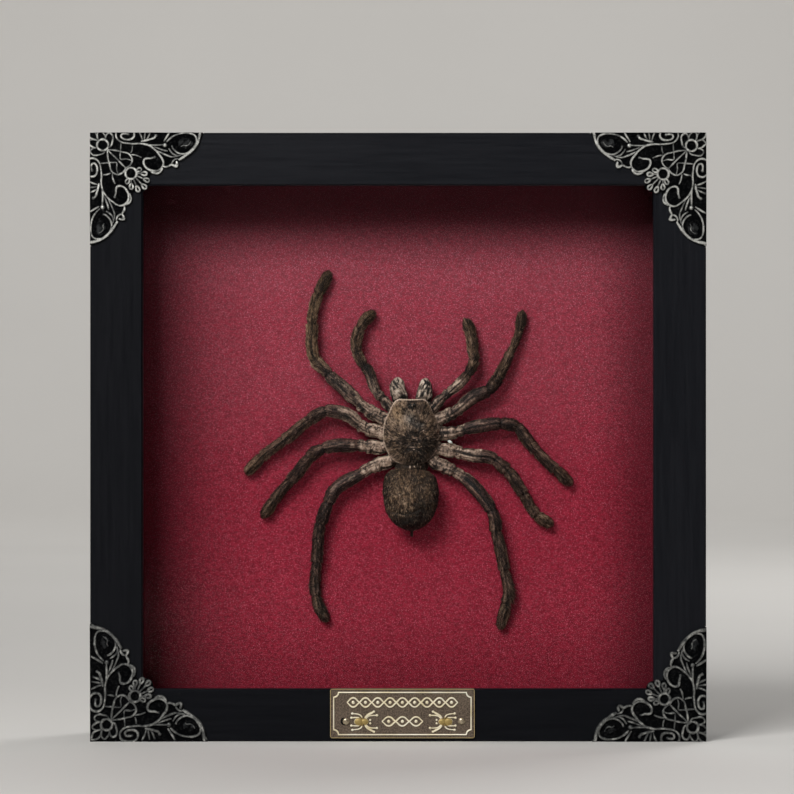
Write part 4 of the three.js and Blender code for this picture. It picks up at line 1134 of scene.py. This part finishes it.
def rolled_limb(name, field):
    """A sheet rolled into a tube along the limb's route, creased, folded and pinched at the joints."""
    shift = len(name) * 3.1 + LIMB_ROUTES[name][0][0] * 1.7 + LIMB_ROUTES[name][0][1]
    run, share, radius, middle, ahead, across, over = limb_line(name, field, shift)
    length = run[-1]
    bpy.ops.mesh.primitive_grid_add(x_subdivisions=AROUND, y_subdivisions=len(run) - 1, size=1)
    limb = bpy.context.object
    limb.name = f"{name}_skin"
    sheet = points_of(limb)
    angle = sheet[:, 0] * 2 * math.pi - math.pi / 2
    row = np.rint((sheet[:, 1] + 0.5) * (len(run) - 1)).astype(int)
    x, y, s, u = np.cos(angle), np.sin(angle), run[row] + shift, share[row]

    joints = PALP_JOINTS if name.startswith("palp") else LEG_JOINTS
    hip = 1 - fade(u, joints[1] - 0.01, joints[1] + 0.03)
    thigh = fade(u, joints[1] - 0.01, joints[1] + 0.03) * (1 - fade(u, joints[2] - 0.04, joints[2] + 0.04))
    outer = 1 - hip - thigh
    warp = field(x * 0.8, y * 0.8, s * 0.5)
    rings = field(x * 0.5 + warp * 0.7, y * 0.5, s * 0.8, octaves=1)
    stripes = field(x * 2.6, y * 2.6, s * 0.075 + warp * 0.1, octaves=2)
    lumps = field(x * 1.3, y * 1.3, s * 0.55, octaves=3)
    creases = hip * np.maximum(bell(rings, 0.10), 0.40 * bell(stripes, 0.09))
    creases = creases + thigh * bell(stripes, 0.11) + 0.6 * outer * bell(stripes, 0.09)
    pinched = sum(bell((u - joint) * length + 0.25 * warp, 0.30) * (0.45 if joint < 0.2 else 1)
                  for joint in joints)
    banded = sum(bell((u - joint) * length + 0.75, 0.35) for joint in joints[2:])
    ridges = np.cos(3 * angle + 1.1 * warp + 0.25 * shift) * (1 - 0.7 * hip)
    reach = radius[row] + 0.10 * lumps * (0.6 + hip) + 0.12 * hip * rings + 0.10 * ridges - 0.16 * creases
    reach = np.where(radius[row] > 0.3, np.maximum(reach, 0.25), radius[row])
    reach = reach * (1 - 0.06 * np.abs(y))
    spots = middle[row] + (across[row] * x[:, None] + over[row] * y[:, None]) * reach[:, None]
    lay(limb, spots)

    begin, end, olive, hip_light, thigh_light, outer_light = LIMB_TINTS[name]
    pale = 1 - fade(u + 0.10 * warp, begin, end)
    pale = np.maximum(pale, 0.20 * banded * (0.6 + 0.4 * warp))
    specks = field(x * 3.4, y * 3.4, s * 2.0, octaves=2)
    streaks = field(x * 3.4, y * 3.4, s * 0.15, octaves=2)
    tone = (0.56 + hip_light) * hip + (0.45 + thigh_light) * thigh + (0.40 + outer_light) * outer
    tone = tone + (0.05 + 0.08 * hip) * lumps
    # partly painted highlight and shade: the ridges are lightened and the creases darkened, over the skin's
    # own streaks, specks and dark joints
    tone = tone + 0.24 * streaks + (0.15 + 0.05 * outer) * specks + 0.13 * ridges + 0.07 * banded
    tone = tone - (0.45 + 0.15 * hip) * creases - 0.38 * pinched
    for knee, depth, wide, bare in DARK_KNEES.get(name, ()):
        tone = tone - depth * bell((u - knee) * length, wide)
        pale = pale * (1 - bell((u - knee) * length, bare))
    tone = tone - 0.08 * fade(u, 0.37, 0.40) * (1 - fade(u, 0.47, 0.50))
    warm = olive * fade(u, 0.36, 0.5) + 0.45 * fade(u, 0.78, 0.93) * (1 - olive)
    tone = tone - DARK_TIPS.get(name, 0) * fade(u, 0.84, 0.90)
    if name == "leg_left_1":
        pale = pale * (1 - 0.8 * fade(u, 0.385, 0.40))
        tone = tone + 0.20 * bell((u - 0.445) * length, 2.2)
    note_skin(limb, ahead[row], share=u, tone=tone, pale=pale, warm=warm + 0.25 * warp * (warm > 0.05))
    return clean(limb, 0.004)


def outline_reach(outline, middle, bearing):
    """How far the mirrored outline is from its middle in each direction."""
    right = np.array(outline, float) - (0, middle[1])
    loop = np.vstack([right, right[::-1] * (-1, 1)])
    turns = np.arctan2(loop[:, 1], loop[:, 0])
    order = np.argsort(turns)
    fine = np.linspace(-math.pi, math.pi, 361)
    reach = np.interp(fine, turns[order], np.hypot(*loop.T)[order], period=2 * math.pi)
    smoothed = np.convolve(np.concatenate([reach[-5:-1], reach, reach[1:5]]), np.ones(9) / 9, mode="valid")
    return np.interp(bearing, fine, smoothed)


def specks_at(x, y, places):
    """Small marks: each is (x, y, half length, half height)."""
    return np.clip(sum(bell(x - mx, wide) * bell(y - my, high) for mx, my, wide, high in places), 0, 1)


def strokes_at(x, y, marks):
    """Straight marks: each is (x, y, its turn, half length, half width)."""
    total = 0
    for mx, my, turn, long, wide in marks:
        run_x, run_y = math.cos(math.radians(turn)), math.sin(math.radians(turn))
        beside = bell((y - my) * run_x - (x - mx) * run_y, wide)
        total = total + bell((x - mx) * run_x + (y - my) * run_y, long) * beside
    return np.clip(total, 0, 1)


def carapace_shape(field):
    """A low dome with a straight front, a pale rim, an eye mound, a pit and grooves that run out from it."""
    piece, unit = ball("carapace_shell", 260, 150)
    x, y, z = unit.T
    out = np.hypot(x, y)
    bearing = np.arctan2(y, x)
    reach = outline_reach(SHELL_OUTLINE, SHELL_MIDDLE, bearing) * out
    px = SHELL_MIDDLE[0] + np.cos(bearing) * reach
    py = SHELL_MIDDLE[1] + np.sin(bearing) * reach
    top = z > 0
    vault = (1 - out ** 2.6) ** 0.8 * (SHELL_TOP - RIM_HEIGHT)
    height = RIM_HEIGHT + np.where(top, vault, z * 1.6)

    way = np.arctan2(px - FOVEA[0], py - FOVEA[1])
    away = np.hypot(px - FOVEA[0], py - FOVEA[1])
    ray_x, ray_y = np.cos(way), np.sin(way)
    grooves = 0
    for heading in (26, 60, 95, 130):
        for side in (1, -1):
            off = np.angle(np.exp(1j * (way - side * math.radians(heading))))
            grooves = grooves + bell(off * away, 0.5 + 0.05 * away)
    grooves = grooves * fade(away, 1.5, 4) * (1 - fade(away, 7, 10.5))
    rays = field(ray_x * 6.5, ray_y * 6.5, away * 0.38, octaves=3) * fade(away, 2.0, 5.5)
    arcs = field(ray_x * 1.6, ray_y * 1.6, away * 1.5, octaves=2)
    lumps = field(px * 0.9, py * 0.9, px * 0, octaves=3)
    creases = bell(arcs, 0.12) * 0.5 + bell(rays, 0.10)
    mound = bell(np.hypot(px - EYE_MOUND[0], (py - EYE_MOUND[1]) * 1.1), 1.2)
    pit = bell(px - FOVEA[0], 1.4) * bell(py - FOVEA[1] + 0.12 * (px - FOVEA[0]) ** 2, 0.4)
    rim = bell(out - 0.995, 0.035) * np.where(top, 1, bell(z, 0.3))
    lower = 0.9 * mound - 0.7 * pit - 0.15 * grooves + 0.16 * lumps + 0.08 * rays - 0.10 * creases
    height = height + np.where(top, lower * (1 - rim), 0) + 0.25 * rim
    lay(piece, np.column_stack([px, py, height]))

    dark_patches = [(1.0, -0.2, 1.5, 0.8), (3.3, 0.6, 0.8, 0.9), (-2.1, -1.7, 0.8, 0.9),
                    (1.2, -3.0, 1.2, 1.3), (0.3, -6.6, 3.2, 1.2), (1.5, -8.8, 4.5, 1.8),
                    (5.5, -4.0, 2.2, 3.2), (5.0, -7.5, 2.5, 2.0)]
    light_patches = [(-4.8, 7.5, 1.4, 1.4), (-4.4, 5.4, 1.0, 0.7), (-1.0, 9.8, 3.0, 0.9),
                     (-2.5, 3.5, 2.0, 2.0), (-0.5, 1.6, 2.0, 0.7)]
    flecks = [(0.9, -1.6, 1.1, 0.17), (0.4, -4.6, 1.3, 0.17), (0.8, -5.4, 0.35, 0.2), (4.0, 0.9, 0.3, 0.2),
              (1.8, -2.2, 0.2, 0.3)]
    white = specks_at(px, py, flecks)
    near_white = specks_at(px, py, [(x, y, wide + 0.3, 0.65) for x, y, wide, high in flecks])
    specks = field(px * 2.8, py * 2.8, px * 0, octaves=3)
    # painted shade: the tone is darkened in the shell's creases and grooves
    tone = 0.47 + 0.17 * rays + 0.10 * lumps + 0.09 * arcs + 0.32 * specks - 0.20 * creases - 0.08 * grooves
    tone = tone + 0.15 * specks_at(px, py, light_patches) - 0.30 * specks_at(px, py, dark_patches)
    off_mound = np.hypot(px - EYE_MOUND[0], py - EYE_MOUND[1])
    # painted light: the shell is made a little lighter towards its front left
    tone = tone + 0.03 + 0.007 * (py - px) - 0.6 * bell(off_mound - 1.05, 0.5) + 0.22 * bell(off_mound, 0.4)
    # painted highlight and shade on the rim: lighter on its left and at its front, darker at its right rear
    rim_painted_light = 0.40 + 0.52 * fade(-px, -4, 5) + 0.20 * fade(py, 0, 3) + 0.28 * fade(py, 9, 11)
    rim_painted_light = rim_painted_light - 0.42 * fade(-py - 0.6 * px, 7, 10.5) * fade(px, -5, -2)
    tone = np.where(top, tone, 0.12) * (1 - rim) + rim * rim_painted_light
    note_skin(piece, np.column_stack([px - FOVEA[0], py - FOVEA[1], np.full_like(px, 0.001)]),
              tone=np.maximum(tone, 0.95 * white), pale=np.maximum(rim * 1.2, white),
              cool=0.6 * specks_at(px, py, [(-0.5, 4.5, 1.8, 2.0), (2.5, 2.4, 1.6, 1.2)]),
              warm=specks_at(px, py, light_patches[:2]) * 1.5 + 0.35 + 0.3 * lumps,
              bare=rim * 1.5 + near_white * 2 + np.where(top, 0, 1))
    return clean(piece)


def underside_shape(field):
    """The dark breast plate and leg sockets below the shell, and the waist behind it."""
    made = []
    for middle, size in (((-0.2, -0.2, 3.0), (10.3, 10.6, 2.3)), ((-0.2, -11.0, 3.6), (5.6, 3.6, 3.0))):
        piece, unit = ball("underside", 96, 48)
        x, y, z = unit.T
        lumps = field(x * 4, y * 4, z * 3 + middle[1], octaves=3)
        spots = unit * size * (1 + 0.05 * lumps)[:, None] + middle
        lay(piece, spots)
        flecks = specks_at(spots[:, 0], spots[:, 1], [(-0.55, -11.4, 0.28, 0.8), (-3.2, -12.3, 0.7, 0.3),
                                                      (0.9, -11.2, 0.2, 0.5)])
        note_skin(piece, (0, -1, 0.1), tone=np.maximum(0.20 + 0.16 * lumps, flecks), pale=flecks, warm=0.5,
                  cool=0, bare=3 * flecks)
        made.append(clean(piece))
    return joined("underside", made)


def eyes():
    """Eight eyes on their mound: two round ones in front, two oval ones on each side, and two behind."""
    made = []
    for x, y, wide, long in ((0.42, 0.28, 0.34, 0.30), (0.95, 0.42, 0.22, 0.3), (0.95, -0.25, 0.22, 0.28),
                             (0.55, -0.32, 0.16, 0.2)):
        for side in (-1, 1):
            piece, unit = ball("eye", 20, 12)
            top = SHELL_TOP + 0.02 - 0.55 * math.hypot(x, y)
            lay(piece, unit * (wide, long, 0.28) + (EYE_MOUND[0] + side * x, EYE_MOUND[1] + y, top))
            made.append(piece)
    return joined("eyes", made)


def abdomen_shape(field):
    """A full sac with lengthwise wrinkles and a fold towards its rear, and its spinnerets."""
    piece, unit = ball("abdomen_sac", 220, 140)
    x, y, z = unit.T
    out = np.hypot(x, y)
    bearing = np.arctan2(y, x)
    reach = outline_reach(SAC_OUTLINE, SAC_MIDDLE, bearing) * out ** 0.9
    reach = reach * (1 + 0.07 * bell(bearing - math.radians(135), math.radians(25)))
    px = SAC_MIDDLE[0] + np.cos(bearing) * reach
    py = SAC_MIDDLE[1] + np.sin(bearing) * reach
    rise = (SAC_HEIGHTS[1] - SAC_HEIGHTS[0]) / 2
    streaks = field(px * 1.9 + 0.3 * py, py * 0.85, z * 2, octaves=3)
    lumps = field(px * 0.5, py * 0.5, z * 1.5 + 9, octaves=2)
    fold = bell(py + 26.9 - 0.05 * (px + 3) ** 2, 0.55) * (1 - fade(np.abs(px + 2), 3, 7)) * (z > 0)
    creases = bell(streaks, 0.10)
    height = SAC_HEIGHTS[0] + rise + z * rise * (1 + 0.05 * lumps - 0.02 * (py - SAC_MIDDLE[1]))
    height = height + 0.14 * streaks - 0.5 * fold - 0.12 * creases
    swell = 1 + 0.012 * lumps
    lay(piece, np.column_stack([px * swell, py, height]))
    specks = field(px * 3.6, py * 2.0, z * 3, octaves=3)
    rear = fade(-py, 24, 31)
    right_rear = fade(px * 0.7 - py, 22, 30)
    flank = fade(np.abs(px + 0.2), 6, 9)
    # painted shade: darker in the creases and the fold
    tone = 0.40 + 0.11 * streaks + 0.27 * specks - 0.12 * creases - 0.30 * fold - 0.10 * bell(py + 14.5, 4.5)
    tone = tone - 0.16 * specks_at(px, py, [(3.0, -24.0, 2.0, 3.5), (6.0, -14.5, 2.0, 1.6)])
    # painted shade: darker and less warm towards the rear, the right rear and the flanks, away from the light
    tone = tone - 0.14 * rear - 0.20 * right_rear - 0.14 * flank
    tone = tone + 0.14 * specks_at(px, py, [(-1.5, -28.0, 1.6, 0.7), (-3.5, -19.0, 3.4, 4.5)])
    # painted highlight: a pale stroke along the fold's lit edge
    tone = tone + 0.30 * strokes_at(px, py, [(-4.2, -27.0, -25, 1.8, 0.3)])
    note_skin(piece, np.column_stack([0.3 * x, np.full_like(x, -1.0), np.full_like(x, -0.1)]),
              tone=np.where(z > -0.3, tone, 0.2), pale=0, bare=0,
              warm=0.75 + 0.3 * lumps - 0.6 * flank - 0.7 * rear)
    return joined("abdomen_sac", [clean(piece), *spinnerets()])


def spinnerets():
    """Three blunt stubs at the sac's rear end."""
    stubs = []
    for dx, dy, wide, length in ((-0.05, -0.1, 0.52, 1.75), (0.55, 0.95, 0.4, 0.9), (-0.7, 0.95, 0.4, 0.9)):
        stub, unit = ball("spinneret", 20, 14)
        girth = np.hypot(unit[:, 0], unit[:, 2])
        full = np.minimum(2.0 * girth, 1) / np.maximum(girth, 1e-6)
        spots = unit * (wide, length, wide)
        spots[:, (0, 2)] *= full[:, None]
        lay(stub, spots + (0.15 + dx, -32.9 + dy, 5.2))
        note_skin(stub, (0, -1, 0), tone=0.25, pale=0, warm=0, bare=1)
        stubs.append(clean(stub))
    return stubs


def jaw_shape(side, field):
    """A swollen jaw, broad at its root, with lengthwise furrows."""
    piece, unit = ball(f"chelicera_{side}_skin", 96, 90)
    along = -unit[:, 2]
    angle = np.arctan2(unit[:, 1], unit[:, 0])
    x, y = np.cos(angle), np.sin(angle)
    table = np.array(JAWS[side])
    run = table[0, 0] + (table[-1, 0] - table[0, 0]) * (1 + along) / 2
    middle = np.interp(run, table[:, 0], table[:, 1])
    half = np.interp(run, table[:, 0], table[:, 2])
    ends = np.clip(np.minimum(run - table[0, 0], table[-1, 0] - run) / 2.0, 0, 1)
    ends = np.sqrt(1 - (1 - ends) ** 2)
    half = half * ends * (np.hypot(unit[:, 0], unit[:, 1]) > 1e-5)
    shift = 4.0 if side == "left" else 11.0
    furrows = field(x * 2.1, y * 2.1, run * 0.22 + shift, octaves=2)
    specks = field(x * 3, y * 3, run * 1.2 + shift, octaves=3)
    creases = bell(furrows, 0.15)
    girth = half * (1 + 0.04 * furrows - 0.06 * creases)
    front = fade(run, 10.5, 13.5)
    spots = np.column_stack([middle + x * girth, run, 3.6 + 0.9 * front + y * girth * (0.72 + 0.28 * front)])
    lay(piece, spots)
    strokes = strokes_at(spots[:, 0], spots[:, 1], JAW_STROKES[side])
    # painted shade: darker in the creases and at the root, which lies under the shell's front
    tone = 0.60 + 0.12 * furrows + 0.22 * specks - 0.32 * creases - 0.25 * (1 - fade(run, 11.2, 12.6))
    tone = tone - 0.35 * fade(np.abs(x), 0.80, 0.98) - 0.9 * strokes
    note_skin(piece, (0, 1, -0.1), tone=np.where(y > -0.5, tone, 0.3), pale=0.9 + 0.2 * specks, warm=0.2,
              bare=0.9 * strokes)
    return clean(piece)


def glue_shape(field):
    piece, unit = ball("glue_chip", 32, 20)
    lumps = field(*(unit.T * 1.5), octaves=2)
    spots = unit * (0.85, 0.5, 0.9) * (1 + 0.2 * lumps)[:, None]
    spots[:, 1] -= 0.3 * spots[:, 0]
    lay(piece, spots + (12.9, -2.9, 5.6))
    return clean(piece)


# --- spider: hair ---

def hair_roots(piece, count, rng, weight):
    """Random places on a piece, more where the weight is high, their normals, and a reader of measures."""
    mesh = piece.data
    mesh.calc_loop_triangles()
    corners = np.empty(len(mesh.loop_triangles) * 3, np.int32)
    mesh.loop_triangles.foreach_get("vertices", corners)
    corners = corners.reshape(-1, 3)
    spots = points_of(piece)
    first, second, third = (spots[corner] for corner in corners.T)
    normals = np.cross(second - first, third - first)
    areas = np.linalg.norm(normals, axis=1)
    chance = areas * weight[corners].mean(1)
    picked = rng.choice(len(corners), count, p=chance / chance.sum())
    one, other = rng.random((2, count))
    over = one + other > 1
    one[over], other[over] = 1 - one[over], 1 - other[over]
    shares = np.column_stack([1 - one - other, one, other])
    chosen = corners[picked]

    def spread(values):
        return np.einsum("ij,ij...->i...", shares, np.asarray(values)[chosen])
    return spread(spots), normals[picked] / areas[picked][:, None], spread


def hairs(name, roots, directions, lengths, widths, notes):
    """Thin closed spikes, one for each root, as one mesh. Lengths and widths are in millimetres."""
    directions = directions / np.linalg.norm(directions, axis=1)[:, None]
    across = np.cross(directions, (0.31, 0.17, 0.94))
    across /= np.linalg.norm(across, axis=1)[:, None]
    beside = np.cross(directions, across)
    half = (widths / 2 * MM)[:, None]
    feet = [roots - directions * 0.06 * MM + half * (math.cos(turn) * across + math.sin(turn) * beside)
            for turn in (0, 2 * math.pi / 3, 4 * math.pi / 3)]
    tips = roots + directions * (lengths * MM)[:, None]
    points = np.stack([*feet, tips], axis=1).reshape(-1, 3)
    sides = np.array([(0, 1, 3), (1, 2, 3), (2, 0, 3), (0, 2, 1)])
    faces = (np.arange(len(roots))[:, None, None] * 4 + sides).reshape(-1, 3)
    mesh = bpy.data.meshes.new(name)
    mesh.vertices.add(len(points))
    mesh.vertices.foreach_set("co", points.astype(np.float32).ravel())
    mesh.loops.add(faces.size)
    mesh.loops.foreach_set("vertex_index", faces.astype(np.int32).ravel())
    mesh.polygons.add(len(faces))
    mesh.polygons.foreach_set("loop_start", np.arange(0, faces.size, 3, dtype=np.int32))
    mesh.update(calc_edges=True)
    mesh.validate()
    piece = set_down(name, mesh)
    note(piece, **{measure: np.repeat(values, 4) for measure, values in notes.items()})
    return piece


def lay_of(normal, ahead, lift, rng, scatter):
    """Directions of hairs that lie along the skin towards ahead, lifted off it."""
    flat = ahead - normal * np.sum(ahead * normal, axis=1)[:, None]
    flat /= np.maximum(np.linalg.norm(flat, axis=1), 1e-6)[:, None]
    return flat + normal * lift[:, None] + rng.normal(scale=scatter, size=normal.shape)


def coat_notes(skin, spread, rng, count, loose):
    """The skin's measures at each hair, with a tone that differs a little from hair to hair."""
    tone = spread(noted(skin, "tone")) + 0.04 + rng.normal(scale=loose, size=count)
    others = [name for name in ("pale", "warm", "cool") if name in skin.data.attributes]
    return {"tone": np.clip(tone, 0, 1), **{name: spread(noted(skin, name)) for name in others}}


def limb_coat(name, skin, rng):
    """Short hairs all along a limb, sparse near the body, and loose fringes on the last legs."""
    count = HAIRS[name.split("_")[0]]
    share = noted(skin, "share")
    weight = np.interp(share, (0, 0.001, 0.12, 0.3, 0.45, 1), (0.02, 0.12, 0.16, 0.3, 1, 1.25))
    roots, normal, spread = hair_roots(skin, count, rng, weight)
    along = spread(share)
    lift = np.interp(along, (0, 0.4, 0.9, 1), (0.2, 0.30, 0.42, 0.5))
    lengths = np.interp(along, (0, 0.3, 0.5, 0.9, 1), (0.45, 0.70, 1.0, 1.05, 0.8))
    lengths = lengths * rng.uniform(0.6, 1.35, count)
    long_ones = (rng.random(count) < 0.05) & (along > 0.42)
    lengths = np.where(long_ones, lengths * 1.9, lengths)
    if name.endswith("4"):
        right = name == "leg_right_4"
        outside = normal[:, 0] * (1 if right else -1) > 0.3
        fringe = bell(along - 0.80, 0.07) * outside * (1 if right else 0.45)
        lengths = lengths + 2.1 * fringe * rng.random(count)
        lift = lift + 0.35 * fringe
    directions = lay_of(normal, spread(noted(skin, "ahead")), lift, rng, 0.16)
    return hairs(f"{name}_hair", roots, directions, lengths, rng.uniform(0.08, 0.15, count),
                 coat_notes(skin, spread, rng, count, 0.27))


def body_coat(name, skin, rng, length, width, lift):
    count = HAIRS[name.split("_")[0]]
    roots, normal, spread = hair_roots(skin, count, rng, 1.02 - noted(skin, "bare"))
    directions = lay_of(normal, spread(noted(skin, "ahead")), rng.uniform(*lift, count), rng, 0.17)
    return hairs(f"{name}_hair", roots, directions, rng.uniform(*length, count), rng.uniform(*width, count),
                 coat_notes(skin, spread, rng, count, 0.29))


def dressed(skin, coat, finishes, slot, angle, *stands_for):
    """Finishes a skin and the hairs on it."""
    finished(smooth(skin, angle), finishes[0], slot, *stands_for)
    finished(coat, finishes[1], slot)


def make_spider():
    rng = np.random.default_rng(SEED)
    field = Field(rng)
    finishes = skin_and_hair("limb", PALE, DARK, OLIVE)
    for name in LIMB_ROUTES:
        skin = rolled_limb(name, field)
        dressed(skin, limb_coat(name, skin, rng), finishes, "dark_chitin", 70, name)

    finishes = skin_and_hair("shell", PALE, BROWN, GOLD)
    for name, skin, stands_for in (("carapace", carapace_shape(field), ["carapace"]),
                                   ("waist", underside_shape(field), [])):
        coat = body_coat(name, skin, rng, (0.5, 1.1), (0.09, 0.18), (0.1, 0.3))
        dressed(skin, coat, finishes, "pale_chitin", 70, *stands_for)
    finished(smooth(eyes(), 60), eye_gloss(), "dark_chitin")

    finishes = skin_and_hair("jaw", GREY, DARK, BROWN)
    for side in JAWS:
        name = f"chelicera_{side}"
        skin = jaw_shape(side, field)
        coat = body_coat(name, skin, rng, (0.35, 0.75), (0.07, 0.13), (0.1, 0.3))
        dressed(skin, coat, finishes, "pale_chitin", 60, name)

    skin = abdomen_shape(field)
    coat = body_coat("abdomen", skin, rng, (0.4, 0.9), (0.09, 0.17), (0.15, 0.45))
    dressed(skin, coat, skin_and_hair("sac", BROWN, BROWN, GOLD), "brown_hair", 60, "abdomen")
    finished(smooth(glue_shape(field), 60), dried_glue(), "dried_glue", "glue_bead")


# --- the CAD nodes that stay ---

def paint_nodes():
    paper, board, steel = crimson_paper(), fibreboard(), zinc_steel()
    coats = {"glass": clear_glass(), "back_board": board, "mount_board": paper}
    # each rail gets its own copy of the paint, darker or lighter as painted shade
    for side, (along, depth) in RAIL_PAINTED_SHADES.items():
        coats[f"rail_{side}"] = black_wood(side, along, depth)
    coats.update({name: paper for name in nodes if name.startswith("liner")})
    coats.update({name: steel for name in nodes if name.startswith(("point", "hanger"))})
    for name, coat in coats.items():
        nodes[name].data.materials.clear()
        nodes[name].data.materials.append(coat)


make_camera()
make_stage()
make_lights()
paint_nodes()
make_corners()
make_name_plate()
make_plate_nails()
make_spider()
